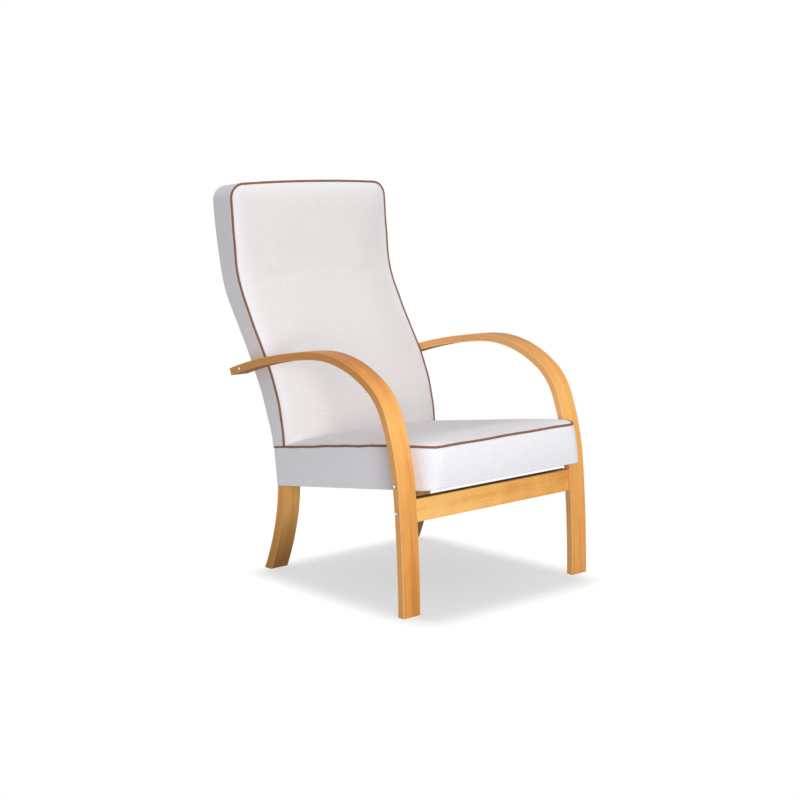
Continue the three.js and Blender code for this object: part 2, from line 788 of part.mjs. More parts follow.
function addRearLegs() {
  for (const { name, sign } of sides) {
    const boltEnd = sign * (legSideX - backNutSink - nutRadius);
    const cutters = [pipingGroove, bore(sign * (legSideX + overrun), boltEnd, backBoltSpot)];
    cutters.push(crossRod(nutRadius + boreGap, rearLegThickness + overrun, sign));
    for (const { z } of legBoltHeights) {
      const spot = new THREE.Vector3(sign * legBoltX, legBoltHeadY, z);
      cutters.push(rod('y', boltBore, legBoltHole, spot).applyMatrix4(seatGroup.matrix));
      spot.y += overrun - jointGap;
      cutters.push(rod('y', boltHeadRadius + boreGap, 2 * overrun, spot).applyMatrix4(seatGroup.matrix));
    }
    addPiece(chair, `rear_leg_${name}`, cut(rearLegBar(sign, 0), topCorners(), ...cutters), beech);
  }
}

function addBackFasteners() {
  for (const { name, sign } of sides) {
    const length = armFaceX - legSideX + backNutSink + nutRadius - jointGap * 2;
    const bolt = addPiece(chair, `back_bolt_${name}`, boltGeometry(sign, length), zinc);
    bolt.position.set(sign * (armFaceX + jointGap), backBoltSpot.y, backBoltSpot.z);
    const nut = cut(crossRod(nutRadius, nutLength, sign), rod('x', boltBore, overrun * 2, backNutAt(sign)));
    addPiece(chair, `back_nut_${name}`, nut, zinc);
  }
}

// Seat frame, in the seat's own frame
const frameTop = seatRailBase + seatRailHeight;
const frameMiddleZ = seatRailBase + seatRailHeight / 2;
const frameFront = seatFrameNose;
const sideRailLength = frameRear - frameFront;
const sideRailX = legSideX - seatRailThickness / 2;
const crossRailLength = 2 * (legSideX - seatRailThickness - jointGap);

function seatBoltInSeat() {
  return new THREE.Vector3(0, seatBoltSpot.y, seatBoltSpot.z).applyMatrix4(toSeat);
}

const coverInside = padSolid(seatPad, coverThickness + jointGap);

// Seat frame
function addSeatFrame() {
  const boltLocal = seatBoltInSeat();
  for (const { name, sign } of sides) {
    const rail = box(seatRailThickness, sideRailLength, seatRailHeight,
      sign * sideRailX, (frameFront + frameRear) / 2, frameMiddleZ);
    const railInner = legSideX - seatRailThickness;
    const through = bore(sign * (legSideX + overrun), sign * (railInner - overrun), boltLocal);
    const barrelEnd = railInner + teeBarrelLength + boreGap;
    const barrel = bore(sign * (railInner - overrun), sign * barrelEnd, boltLocal, teeBarrelRadius + boreGap);
    const bored = cut(keepWithin(rail, coverInside), through, barrel);
    addPiece(seatGroup, `seat_side_rail_${name}`, bored, frameWood);
  }
  const front = box(crossRailLength, seatRailThickness, seatRailHeight,
    0, frameFront + seatRailThickness / 2, frameMiddleZ);
  addPiece(seatGroup, 'seat_front_rail', front, frameWood);
  const rear = box(crossRailLength, seatRailThickness, seatRailHeight,
    0, frameRear - seatRailThickness / 2, frameMiddleZ);
  const holes = sides.flatMap(({ sign }) => legBoltHeights.map(({ z }) => (
    rod('y', boltBore, legBoltHole, new THREE.Vector3(sign * legBoltX, legBoltHeadY, z)))));
  addPiece(seatGroup, 'seat_rear_rail', cut(rear, ...holes), frameWood);
}

function addCornerBlocks() {
  const reach = cornerBlockLeg;
  const corners = [[0, 0], [reach, 0], [0, reach]];
  const shape = new THREE.Shape(corners.map(([x, y]) => new THREE.Vector2(x, y)));
  const innerX = legSideX - seatRailThickness - jointGap;
  for (const { name, sign } of sides) {
    for (const [end, y, facing] of [
      ['front', frameFront + seatRailThickness + jointGap, 1],
      ['rear', frameRear - seatRailThickness - jointGap, -1],
    ]) {
      const block = new THREE.ExtrudeGeometry(shape, { depth: cornerBlockHeight, bevelEnabled: false });
      const quarterTurns = sign > 0 ? 1.5 - facing / 2 : (facing - 1) / 2;
      block.rotateZ(quarterTurns * (Math.PI / 2));
      block.translate(sign * innerX, y, frameTop - cornerBlockHeight - jointGap);
      addPiece(seatGroup, `corner_block_${end}_${name}`, block, frameWood);
    }
  }
}

function addSeatWebbing() {
  const length = sideRailLength - 2 * jointGap;
  for (let i = 0; i < webbingCount; i += 1) {
    const x = ((i + 0.5) / webbingCount - 0.5) * crossRailLength;
    const band = box(webbingWidth, length, webbingThickness,
      x, (frameFront + frameRear) / 2, frameTop + jointGap + webbingThickness / 2);
    addPiece(seatGroup, `seat_webbing_${i + 1}`, band, strap);
  }
}

function addSeatFasteners() {
  const local = seatBoltInSeat();
  for (const { name, sign } of sides) {
    const length = armWidth + jointGap * 2 + coverThickness + seatRailThickness;
    const bolt = addPiece(seatGroup, `seat_bolt_${name}`, boltGeometry(sign, length), zinc);
    bolt.position.set(sign * (armFaceX + jointGap), local.y, local.z);
    const nut = addPiece(seatGroup, `seat_nut_${name}`, teeNutGeometry(sign), zinc);
    const flangeOutside = legSideX - seatRailThickness - jointGap - teeFlangeThickness;
    nut.position.set(sign * flangeOutside, local.y, local.z);
    for (const { name: level, z } of legBoltHeights) {
      const legBolt = boltGeometry(1, legBoltLength).rotateZ(Math.PI / 2);
      legBolt.translate(sign * legBoltX, legBoltHeadY, z);
      addPiece(seatGroup, `leg_bolt_${name}_${level}`, legBolt, zinc);
    }
  }
}
// Upholstery of the seat
const foamFloor = frameTop + webbingThickness + 2 * jointGap;

function frameCavity() {
  const width = 2 * (legSideX + softGap);
  const length = seatDepth * 2;
  return box(width, length, foamFloor * 2, 0, frameFront - jointGap + length / 2, 0);
}

function grownLegs() {
  return sides.map(({ sign }) => rearLegBar(sign, softGap).applyMatrix4(toSeat));
}

function coverBores(spot) {
  return sides.map(({ sign }) => bore(sign * (sideX + overrun), sign * (legSideX - overrun), spot));
}

function addSeatUpholstery() {
  const boltLocal = seatBoltInSeat();
  const boltHoles = coverBores(boltLocal);
  const innerOffset = coverThickness + jointGap;
  const filling = cut(padSolid(seatPad, innerOffset), frameCavity(), ...grownLegs());
  addPiece(seatGroup, 'seat_foam', filling, foam);
  addPiece(seatGroup, 'seat_cover', cut(padShell(seatPad), ...grownLegs(), ...boltHoles), fabric);
  addPiece(seatGroup, 'seat_piping', cordAlong(seamPoints(seatPad, 'high'), pipingRadius), pipingCord);
  const under = box(2 * (legSideX - jointGap), frameRear - frameFront, dustCoverThickness,
    0, (frameRear + frameFront) / 2, seatRailBase - jointGap - dustCoverThickness / 2);
  addPiece(seatGroup, 'seat_dust_cover', keepWithin(under, coverInside), strap);
}

// Back frame and its upholstery

function uprightPlace(share, setBack) {
  return offsetPoint(alongLine(uprightFront, share), setBack);
}

function crossPiece(width, thickness, height, spot) {
  const geometry = new THREE.BoxGeometry(width, thickness, height);
  return geometry.rotateX(-spot.heading).translate(0, spot.y, spot.z);
}

function addBackFrame() {
  const span = 2 * (legSideX - rearLegWidth - jointGap);
  for (const [name, distance] of [
    ['back_top_rail', uprightLength - backTopRailDrop],
    ['back_lumbar_rail', uprightSeamLength + backLumbarRailRise],
    ['back_bottom_rail', uprightSeamLength + backBottomRailRise],
  ]) {
    const spot = uprightPlace(distance / uprightLength, rearLegThickness / 2);
    addPiece(chair, name, crossPiece(span, backRailThickness, backRailHeight, spot), frameWood);
  }
  const half = webbingWidth / lineLength(uprightFront) / 2;
  backWebbingShares.forEach((share, i) => {
    const under = stretch(uprightFront, share - half, share + half);
    const band = bentBar(
      offsetLine(under, -jointGap - webbingThickness), offsetLine(under, -jointGap), 2 * legSideX, 0, 0,
    );
    addPiece(chair, `back_webbing_${i + 1}`, band, strap);
  });
}

// Everything behind the straps, to cut out of the filling
function backCavity() {
  const clear = webbingThickness + 2 * jointGap;
  const front = offsetLine(uprightFront, -clear);
  const end = front.at(-1);
  const lid = { y: end.y + clear * Math.sin(end.heading), z: end.z + clear * Math.cos(end.heading) };
  const far = backHeight;
  const behind = [{ y: lid.y + far, z: lid.z + overrun }, { y: front[0].y + far, z: front[0].z }];
  const shape = new THREE.Shape([...front, lid, ...behind].map((p) => new THREE.Vector2(p.y, p.z)));
  const width = 2 * (legSideX + softGap);
  const geometry = new THREE.ExtrudeGeometry(shape, { depth: width, bevelEnabled: false });
  return geometry.translate(0, 0, -width / 2).applyMatrix4(sidewaysBasis);
}

function addBackUpholstery() {
  const seatBody = padSolid(seatPad, -softGap).applyMatrix4(seatGroup.matrix);
  const boltHoles = coverBores(backBoltSpot);
  const innerOffset = coverThickness + jointGap;
  const filling = cut(padSolid(backPad, innerOffset), backCavity(), outsideBoard(softGap));
  addPiece(chair, 'back_foam', cut(filling, seatBody, pipingGroove), foam);
  const shell = cut(padShell(backPad), seatBody, pipingGroove, ...boltHoles);
  addPiece(chair, 'back_cover', shell, fabric);
  const cord = cordAlong(seamPoints(backPad, 'low'), pipingRadius);
  addPiece(chair, 'back_piping', cut(cord, pipingGroove, seatBody), pipingCord);
  const board = keepWithin(outsideBoard(0), padSolid(backPad, coverThickness + jointGap / 2));
  addPiece(chair, 'back_outside_panel', cut(board, seatBody, pipingGroove), fabric);
}

// The board that closes the back from behind, between the cover's walls
function outsideBoard(grow) {
  const start = backSection(-backHeight * backTuckShare).rear;
  const line = [{ ...start, heading: backRearLine[0].heading }, ...backRearLine];
  const front = offsetLine(line, -backPanelThickness - jointGap - grow);
  return bentBar(front, offsetLine(line, grow - jointGap), 2 * (legSideX + grow), 0, 0);
}

addArms();
addFrontRail();
addRailFasteners();
addRearLegs();
addBackFasteners();
addSeatFrame();
addCornerBlocks();
addSeatWebbing();
addSeatFasteners();
addSeatUpholstery();
addBackFrame();
addBackUpholstery();
chair.add(seatGroup);

// The origin is on the floor, under the middle of the chair
const bounds = new THREE.Box3().setFromObject(chair, true);
const centre = bounds.getCenter(new THREE.Vector3());
chair.position.set(-centre.x, -centre.y, 0);
const part = new THREE.Group();
part.add(chair);

export default part;
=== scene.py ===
# Looks of the fireside chair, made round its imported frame. Metres, +Z up, the chair faces -Y.
import json
import math

import bpy
import numpy as np
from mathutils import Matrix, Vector


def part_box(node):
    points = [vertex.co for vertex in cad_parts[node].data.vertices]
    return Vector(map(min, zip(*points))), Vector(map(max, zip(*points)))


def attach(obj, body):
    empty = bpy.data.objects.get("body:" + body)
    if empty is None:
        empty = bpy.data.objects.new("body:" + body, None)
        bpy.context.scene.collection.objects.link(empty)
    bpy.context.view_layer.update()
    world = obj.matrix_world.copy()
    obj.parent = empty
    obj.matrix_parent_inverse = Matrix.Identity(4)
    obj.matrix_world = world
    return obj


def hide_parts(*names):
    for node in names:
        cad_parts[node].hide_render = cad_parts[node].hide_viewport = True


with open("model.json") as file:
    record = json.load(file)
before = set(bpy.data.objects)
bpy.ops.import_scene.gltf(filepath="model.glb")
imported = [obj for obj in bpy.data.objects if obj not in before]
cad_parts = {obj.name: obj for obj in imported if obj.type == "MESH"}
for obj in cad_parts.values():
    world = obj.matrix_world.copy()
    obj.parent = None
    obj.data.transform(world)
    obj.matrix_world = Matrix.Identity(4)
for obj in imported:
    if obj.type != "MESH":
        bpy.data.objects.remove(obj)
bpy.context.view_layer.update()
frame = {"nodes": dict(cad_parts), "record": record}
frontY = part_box("arm_leg_right")[0][1]  # front faces of the front feet
sides = {"right": -1, "left": 1}


# Shader maths

class Value:
    def __init__(self, paint, socket):
        self.paint, self.socket = paint, socket

    def maths(self, kind, first, second):
        return self.paint.node("ShaderNodeMath", {"operation": kind}, {0: first, 1: second})

    def __add__(self, other): return self.maths("ADD", self, other)
    def __radd__(self, other): return self.maths("ADD", other, self)
    def __sub__(self, other): return self.maths("SUBTRACT", self, other)
    def __rsub__(self, other): return self.maths("SUBTRACT", other, self)
    def __mul__(self, other): return self.maths("MULTIPLY", self, other)
    def __rmul__(self, other): return self.maths("MULTIPLY", other, self)
    def __truediv__(self, other): return self.maths("DIVIDE", self, other)
    def __pow__(self, other): return self.maths("POWER", self, other)
    def least(self, other): return self.maths("MINIMUM", self, other)
    def most(self, other): return self.maths("MAXIMUM", self, other)
    def sine(self): return self.maths("SINE", self, 0)
    def part(self): return self.maths("FRACT", self, 0)
    def whole(self): return self.maths("FLOOR", self, 0)
    def size(self): return self.maths("ABSOLUTE", self, 0)

    def ramp(self, low, high, smooth=True):  # 0 below low, 1 above high
        kind = "SMOOTHSTEP" if smooth else "LINEAR"
        return self.paint.node("ShaderNodeMapRange", {"interpolation_type": kind},
                               {"Value": self, "From Min": low, "From Max": high})


class Paint:
    def __init__(self, owner):  # a new material's name, or the world
        self.owner = bpy.data.materials.new(owner) if isinstance(owner, str) else owner
        self.owner.use_nodes = True
        self.tree = self.owner.node_tree
        self.tree.nodes.clear()

    def node(self, kind, settings=None, inputs=None, out=0):
        made = self.tree.nodes.new(kind)
        for key, value in (settings or {}).items():
            if key == "stops":
                while len(made.color_ramp.elements) < len(value):
                    made.color_ramp.elements.new(1)
                for stop, (place, colour) in zip(made.color_ramp.elements, value):
                    stop.position, stop.color = place, (*colour, 1)
            else:
                setattr(made, key, value)
        for key, value in (inputs or {}).items():
            if isinstance(value, Value):
                self.tree.links.new(value.socket, made.inputs[key])
            else:
                made.inputs[key].default_value = value
        return Value(self, made.outputs[out] if made.outputs else None)

    def attribute(self, name):
        return self.node("ShaderNodeAttribute", {"attribute_name": name}, out="Vector")

    def place(self):
        return self.node("ShaderNodeTexCoord", out="Object")

    def stretch(self, vector, scale):
        return self.node("ShaderNodeVectorMath", {"operation": "MULTIPLY"}, {0: vector, 1: scale})

    def shift(self, vector, by):
        return self.node("ShaderNodeVectorMath", {"operation": "ADD"}, {0: vector, 1: by})

    def axis(self, vector, name):
        return self.node("ShaderNodeSeparateXYZ", inputs={0: vector}, out=name)

    def noise(self, vector, scale, detail=2.0, rough=0.5, stretch=None):
        where = self.stretch(vector, stretch) if stretch else vector
        return self.node("ShaderNodeTexNoise", inputs={
            "Vector": where, "Scale": scale, "Detail": detail, "Roughness": rough})

    def mix(self, amount, first, second, blend="MIX"):
        def full(colour): return colour if isinstance(colour, Value) else (*colour, 1)
        return self.node("ShaderNodeMix", {"data_type": "RGBA", "blend_type": blend},
                         {0: amount, 6: full(first), 7: full(second)}, out=2)

    def bump(self, height, depth, strength=1.0, under=None):
        inputs = {"Height": height, "Distance": depth, "Strength": strength}
        if under is not None:
            inputs["Normal"] = under
        return self.node("ShaderNodeBump", inputs=inputs)

    def surface(self, inputs):
        inputs = {key: (*value, 1) if isinstance(value, tuple) and len(value) == 3 else value
                  for key, value in inputs.items()}
        body = self.node("ShaderNodeBsdfPrincipled", inputs=inputs)
        self.node("ShaderNodeOutputMaterial", inputs={"Surface": body})
        return self.owner


# Finishes

beechLook = dict(
    palest=(0.856, 0.462, 0.130), pale=(0.80, 0.385, 0.096), mid=(0.715, 0.305, 0.066),
    deep=(0.56, 0.205, 0.034), deepest=(0.437, 0.150, 0.016), arrisHighlight=(0.95, 0.60, 0.25),
    layerEdge=(0.91, 0.476, 0.170), layerDark=(0.70, 0.338, 0.109), veneer=0.0040, glueLine=0.00030,
    roughness=0.42, coat=0.05, gloss=0.22, streak=0.55, figure=0.25, figureStretch=(9, 14, 4),
    cutFrom=(0, 0, 0),
    paintedFootShade=0.05, paintedEdgeFootShade=0.0, paintedEdgeShade=0.56, paintedUnderShade=0.8, paintedShadeColour=(0.30, 0.11, 0.022),
    # The sweep paints light and shade along the strip, paler at the bend and darker at the crest and foot, over some of
    # the wood's own tone.
    toneAndLightSweep=((0.0, -0.17), (0.06, -0.15), (0.10, -0.13), (0.18, -0.08), (0.27, 0.04), (0.36, 0.05), (0.45, 0.24),
           (0.50, 0.18), (0.545, -0.01), (0.60, -0.20), (0.66, -0.31), (0.72, -0.27), (0.80, -0.22),
           (0.90, -0.03), (1.0, 0.14), (1.16, 0.20)),  # metres along the strip, and how much paler
)
# The left arm's copy: its paler layer edges and its own sweep paint light onto its inner side, and it takes no painted
# shade past the bend.
leftArmLook = dict(
    beechLook, cutFrom=(3.1, 0.37, 0.21), paintedEdgeShade=0.0, layerEdge=(0.97, 0.53, 0.205), layerDark=(0.78, 0.385, 0.132),
    toneAndLightSweep=((0.0, -0.06), (0.10, 0.0), (0.18, 0.04), (0.28, 0.14), (0.37, 0.16), (0.45, 0.34), (0.50, 0.27),
           (0.54, 0.11), (0.60, 0.03), (0.68, -0.13), (0.78, -0.36), (0.90, -0.28), (1.0, 0.02), (1.16, 0.02)),
)


def beechPaint(name, look, laminated):
    paint = Paint(name)
    grain = paint.attribute("grain")  # along the strip, across it, and through its thickness
    through, lengthwise = paint.axis(grain, "Z"), paint.axis(grain, "X")
    cut = paint.shift(grain, look["cutFrom"])
    layer = (through / look["veneer"]).whole()
    odd = (layer * 0.5).part() * 2
    shade = paint.node("ShaderNodeTexWhiteNoise", {"noise_dimensions": "1D"}, {"W": layer + 3.7})
    broad = paint.noise(cut, 1.0, 3, 0.55, (2.2, 34, 9))
    streak = paint.noise(cut, 1.0, 4, 0.6, (7, 260, 60))
    fleck = paint.noise(cut, 1.0, 1, 0.5, (190, 1500, 900)).ramp(0.63, 0.78)
    figure = paint.noise(cut, 1.0, 2, 0.5, look["figureStretch"])
    tone = broad * 0.60 + (streak - 0.5) * look["streak"] + 0.275 + (figure - 0.5) * look["figure"]
    stripLength = 1.2
    # painted light and shade along the strip, with some of the wood's own tone
    toneAndLightSweep = paint.node("ShaderNodeValToRGB", {"stops": [
        (at / stripLength, (0.5 + paler,) * 3) for at, paler in look["toneAndLightSweep"]]}, {0: lengthwise / stripLength})
    tone = tone + toneAndLightSweep - 0.5
    colour = paint.node("ShaderNodeValToRGB", {"stops": [
        (0.12, look["deepest"]), (0.33, look["deep"]), (0.52, look["mid"]), (0.72, look["pale"]),
        (0.92, look["palest"])]}, {0: tone})
    colour = paint.mix(fleck * 0.30, colour, look["deep"])
    # painted shade: darker towards the foot
    down = 1 - lengthwise.ramp(0.0, 0.28)
    if look["paintedFootShade"]:
        colour = paint.mix(down * look["paintedFootShade"], colour, look["deepest"])
    height = streak * 0.6 - fleck * 0.4
    rough = look["roughness"] + streak * 0.10
    if laminated:
        within = (through / look["veneer"]).part()
        width = look["glueLine"] / look["veneer"]
        line = (1 - within.ramp(0, width)).most(within.ramp(1 - width, 1))
        across = paint.axis(grain, "Y").size()
        aside = across.ramp(0.0262, 0.0270)  # only where the layers' edges show
        line = line * aside
        bands = paint.mix((odd * 0.6 + shade * 0.5).ramp(0, 1.1, False), look["layerEdge"], look["layerDark"])
        # painted shade on the layer edges past the bend, and towards the foot
        bands = paint.mix(lengthwise.ramp(0.42, 0.58) * look["paintedEdgeShade"], bands, look["deep"])
        bands = paint.mix(down * look["paintedEdgeFootShade"], bands, look["deepest"])
        # painted shade under the arm's rear end, which is also rougher there
        under = through.ramp(0.0185, 0.0198) * lengthwise.ramp(0.75, 0.95) * look["paintedUnderShade"]
        colour = paint.mix(under, colour, look["paintedShadeColour"])
        rough = rough + under * 0.45
        colour = paint.mix(aside * 0.8, colour, bands)
        wearAndHighlight = across.ramp(0.0246, 0.0258) * (1 - aside) * 0.5  # painted highlight along the arrises
        colour = paint.mix(wearAndHighlight, colour, look["arrisHighlight"])
        colour = paint.mix(line * 0.75, colour, (0.22, 0.105, 0.035))
        height = height - line * 0.8
    else:  # painted shade on the rail's top edge, under the seat, which is also left unpolished
        top = paint.axis(grain, "Y").ramp(look["topEdge"] - 0.0015, look["topEdge"] - 0.0003)
        top = top * (1 - (through / look["thickness"]).ramp(0.58, 0.68))
        colour = paint.mix(top * 0.9, colour, look["paintedShadeColour"])
        rough = rough + top * 0.45
    return paint.surface({
        "Base Color": colour, "Roughness": rough, "Normal": paint.bump(height, 0.00006),
        "Coat Weight": look["coat"], "Coat Roughness": 0.22, "Specular IOR Level": look["gloss"]})


# middle is the cloth's own colour; edge is a paler, cooler colour laid on as painted highlight near the seams, over the
# walls and towards the seat's front
fabricLook = dict(
    middle=(0.800, 0.766, 0.747), edge=(0.890, 0.861, 0.884), dark=0.815, pitch=0.0011, roughness=0.92,
)


def fabricPaint(name, look):
    paint = Paint(name)
    cloth = paint.attribute("cloth")  # across and along the cloth, and the painted highlight, strongest near a seam
    turns = 2 * math.pi / look["pitch"]
    wander = paint.noise(cloth, 90, 2, 0.5)
    across = paint.axis(cloth, "X") * turns + wander * 5
    along = paint.axis(cloth, "Y") * turns + wander * 4
    weave = across.sine() * along.sine()
    mottle = paint.noise(cloth, 420, 3, 0.65)
    slub = paint.noise(cloth, 1.0, 3, 0.6, (26, 640, 1))
    warp = paint.noise(cloth, 1.0, 3, 0.6, (640, 30, 1))
    broad = paint.noise(cloth, 7, 2, 0.5)
    melange = paint.noise(cloth, 230, 2, 0.6)
    tone = (mottle - 0.5) * 1.3 + (melange - 0.5) * 1.5 + (slub - 0.5) * 0.7 + (warp - 0.5) * 0.5
    tone = tone + (broad - 0.5) * 0.25 + 0.42 - weave * 0.05
    # painted highlight: the paler, cooler edge colour near the seams, over the walls and, on the seat, towards the
    # front
    paintedLightBase = paint.mix(paint.axis(cloth, "Z"), look["middle"], look["edge"])
    colour = paint.mix(tone.ramp(0, 1, False), paintedLightBase, (look["dark"],) * 3, "MULTIPLY")
    height = weave * 0.35 + mottle * 0.8 + slub * 0.5 + warp * 0.3
    return paint.surface({
        "Base Color": colour, "Roughness": look["roughness"], "Normal": paint.bump(height, 0.00022, 0.7),
        "Sheen Weight": 0.12, "Sheen Roughness": 0.5, "Specular IOR Level": 0.2})


pipingLook = dict(colour=(0.195, 0.078, 0.038), wearAndHighlight=(0.290, 0.135, 0.075), roughness=0.62)


def pipingPaint(name, look):
    paint = Paint(name)
    cord = paint.attribute("cloth")  # round the cord and along it
    turns = 2 * math.pi
    twill = (paint.axis(cord, "Y") * (turns / 0.0013) + paint.axis(cord, "X") * (turns / 0.0016)).sine()
    speck = paint.noise(cord, 700, 2, 0.6)
    colour = paint.mix((twill * 0.2 + speck * 0.9).ramp(0.2, 0.9), look["colour"], look["wearAndHighlight"])
    return paint.surface({
        "Base Color": colour, "Roughness": look["roughness"],
        "Normal": paint.bump(twill * 0.5 + speck, 0.00012, 0.8), "Sheen Weight": 0.1, "Specular IOR Level": 0.3})


def zincPaint(name):
    paint = Paint(name)
    where = paint.place()
    spots = paint.noise(where, 900, 3, 0.6)
    colour = paint.mix(spots, (0.70, 0.78, 0.76), (0.54, 0.61, 0.59))
    # painted shade: the head turns dark towards its rim
    colour = paint.mix(paint.axis(paint.attribute("rim"), "X"), colour, (0.10, 0.125, 0.12))
    return paint.surface({"Base Color": colour, "Roughness": 0.27 + spots * 0.14, "Metallic": 1.0,
                          "Normal": paint.bump(spots, 0.00003)})


def rawWoodPaint(name):
    paint = Paint(name)
    where = paint.place()
    streak = paint.noise(where, 1.0, 4, 0.6, (6, 160, 160))
    saw = paint.noise(where, 1.0, 2, 0.5, (420, 12, 12))
    colour = paint.node("ShaderNodeValToRGB", {"stops": [
        (0.3, (0.44, 0.27, 0.13)), (0.55, (0.60, 0.41, 0.22)), (0.8, (0.70, 0.52, 0.31))]}, {0: streak})
    return paint.surface({"Base Color": colour, "Roughness": 0.72 + saw * 0.12,
                          "Normal": paint.bump(streak + saw * 0.5, 0.0003)})


def foamPaint(name):
    paint = Paint(name)
    where = paint.place()
    cells = paint.node("ShaderNodeTexVoronoi", {"feature": "F1"}, {"Vector": where, "Scale": 620}, out="Distance")
    colour = paint.mix(cells, (0.86, 0.80, 0.60), (0.70, 0.62, 0.42))
    return paint.surface({"Base Color": colour, "Roughness": 0.95, "Normal": paint.bump(cells, 0.0005)})


def strapPaint(name, colour, light):
    paint = Paint(name)
    where = paint.place()
    rib = (paint.axis(where, "X") * (2 * math.pi / 0.0024)).sine() * 0.5
    cross = (paint.axis(where, "Y") * (2 * math.pi / 0.0017)).sine() * 0.5
    fuzz = paint.noise(where, 500, 3, 0.6)
    tint = paint.mix((rib + fuzz).ramp(0, 1.2), colour, light)
    return paint.surface({"Base Color": tint, "Roughness": 0.9, "Normal": paint.bump(rib + cross + fuzz, 0.0003, 0.6)})


armBeech = {"right": beechPaint("rightArmBeech", beechLook, True), "left": beechPaint("leftArmBeech", leftArmLook, True)}
# The rear legs' copy of the beech: painted shade darkens them towards the foot, down to a near-black deepest tone.
rearLegBeech = beechPaint("rearLegBeech", dict(
    beechLook, palest=(0.97, 0.570, 0.200), pale=(0.94, 0.540, 0.178), mid=(0.80, 0.405, 0.112),
    deep=(0.62, 0.280, 0.062), deepest=(0.195, 0.078, 0.0110), arrisHighlight=(0.86, 0.52, 0.19),
    layerEdge=(0.95, 0.44, 0.115), layerDark=(0.655, 0.265, 0.057), paintedFootShade=0.92, paintedEdgeFootShade=0.45,
    paintedEdgeShade=0.0, paintedUnderShade=0.0, toneAndLightSweep=((0.0, 0.0), (1.16, 0.0))), True)
railLow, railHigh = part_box("front_rail")
# The rail's beech: its sweep paints light and shade along the rail, paler at one end and darker at the other, over some
# of the wood's own tone, and its top edge under the seat is painted in shade.
solidBeech = beechPaint("solidBeech", dict(
    beechLook, palest=(0.99, 0.560, 0.170), pale=(0.99, 0.530, 0.150), mid=(0.88, 0.420, 0.096),
    deep=(0.76, 0.300, 0.058), deepest=(0.70, 0.260, 0.048), streak=0.40, figure=0.50,
    figureStretch=(20, 11, 4), paintedFootShade=0.0,
    paintedShadeColour=(0.16, 0.065, 0.016), topEdge=(railHigh[2] - railLow[2]) / 2, thickness=railHigh[1] - railLow[1],
    toneAndLightSweep=((0.0, 0.17), (0.15, 0.12), (0.30, 0.0), (0.45, -0.12), (0.60, -0.17))), False)
coverFabric = fabricPaint("coverFabric", fabricLook)
# The seat's copy of the cover fabric, its colours set apart from the back's as painted light on the seat.
seatFabric = fabricPaint("seatFabric", dict(fabricLook, middle=(0.808, 0.758, 0.779), edge=(0.905, 0.886, 0.912)))
pipingFabric = pipingPaint("pipingFabric", pipingLook)
zincPlate = zincPaint("zincPlate")
frameTimber = rawWoodPaint("frameTimber")
paddingFoam = foamPaint("paddingFoam")
strapWebbing = strapPaint("strapWebbing", (0.035, 0.030, 0.028), (0.09, 0.08, 0.075))
dustCloth = strapPaint("dustCloth", (0.022, 0.022, 0.024), (0.05, 0.05, 0.053))
print("finishes made")


# Meshes from rows of points

def addMesh(name, points, faces, material, attributes=None, smooth=True):
    mesh = bpy.data.meshes.new(name)
    mesh.from_pydata([tuple(p) for p in points], [], faces)
    for key, values in (attributes or {}).items():
        layer = mesh.attributes.new(key, "FLOAT_VECTOR", "POINT")
        layer.data.foreach_set("vector", np.asarray(values, dtype=np.float32).ravel())
    mesh.materials.append(material)
    mesh.polygons.foreach_set("use_smooth", [smooth] * len(mesh.polygons))
    mesh.update()
    piece = bpy.data.objects.new(name, mesh)
    bpy.context.scene.collection.objects.link(piece)
    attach(piece, "root")
    return piece


def ringFaces(rows, count, closed=True, start=0):
    faces = []
    for r in range(rows - 1):
        for i in range(count if closed else count - 1):
            j = (i + 1) % count
            a, b = start + r * count + i, start + r * count + j
            faces.append((a, b, b + count, a + count))
    return faces


def sectionOutline(halfWidth, halfDepth, edge):
    points = []
    keep = edge * 1.3  # a row close to each rounded edge keeps the flats flat
    for cx, cy, start in ((1, 1, 0), (-1, 1, 90), (-1, -1, 180), (1, -1, 270)):
        centre = (cx * (halfWidth - edge), cy * (halfDepth - edge))
        first, last = math.radians(start), math.radians(start + 90)
        arc = [(centre[0] + edge * math.cos(a), centre[1] + edge * math.sin(a))
               for a in np.linspace(first, last, 5)]
        before = (arc[0][0] + (keep - edge) * math.sin(first), arc[0][1] - (keep - edge) * math.cos(first))
        after = (arc[-1][0] - (keep - edge) * math.sin(last), arc[-1][1] + (keep - edge) * math.cos(last))
        points += [before, *arc, after]
    return np.array(points)


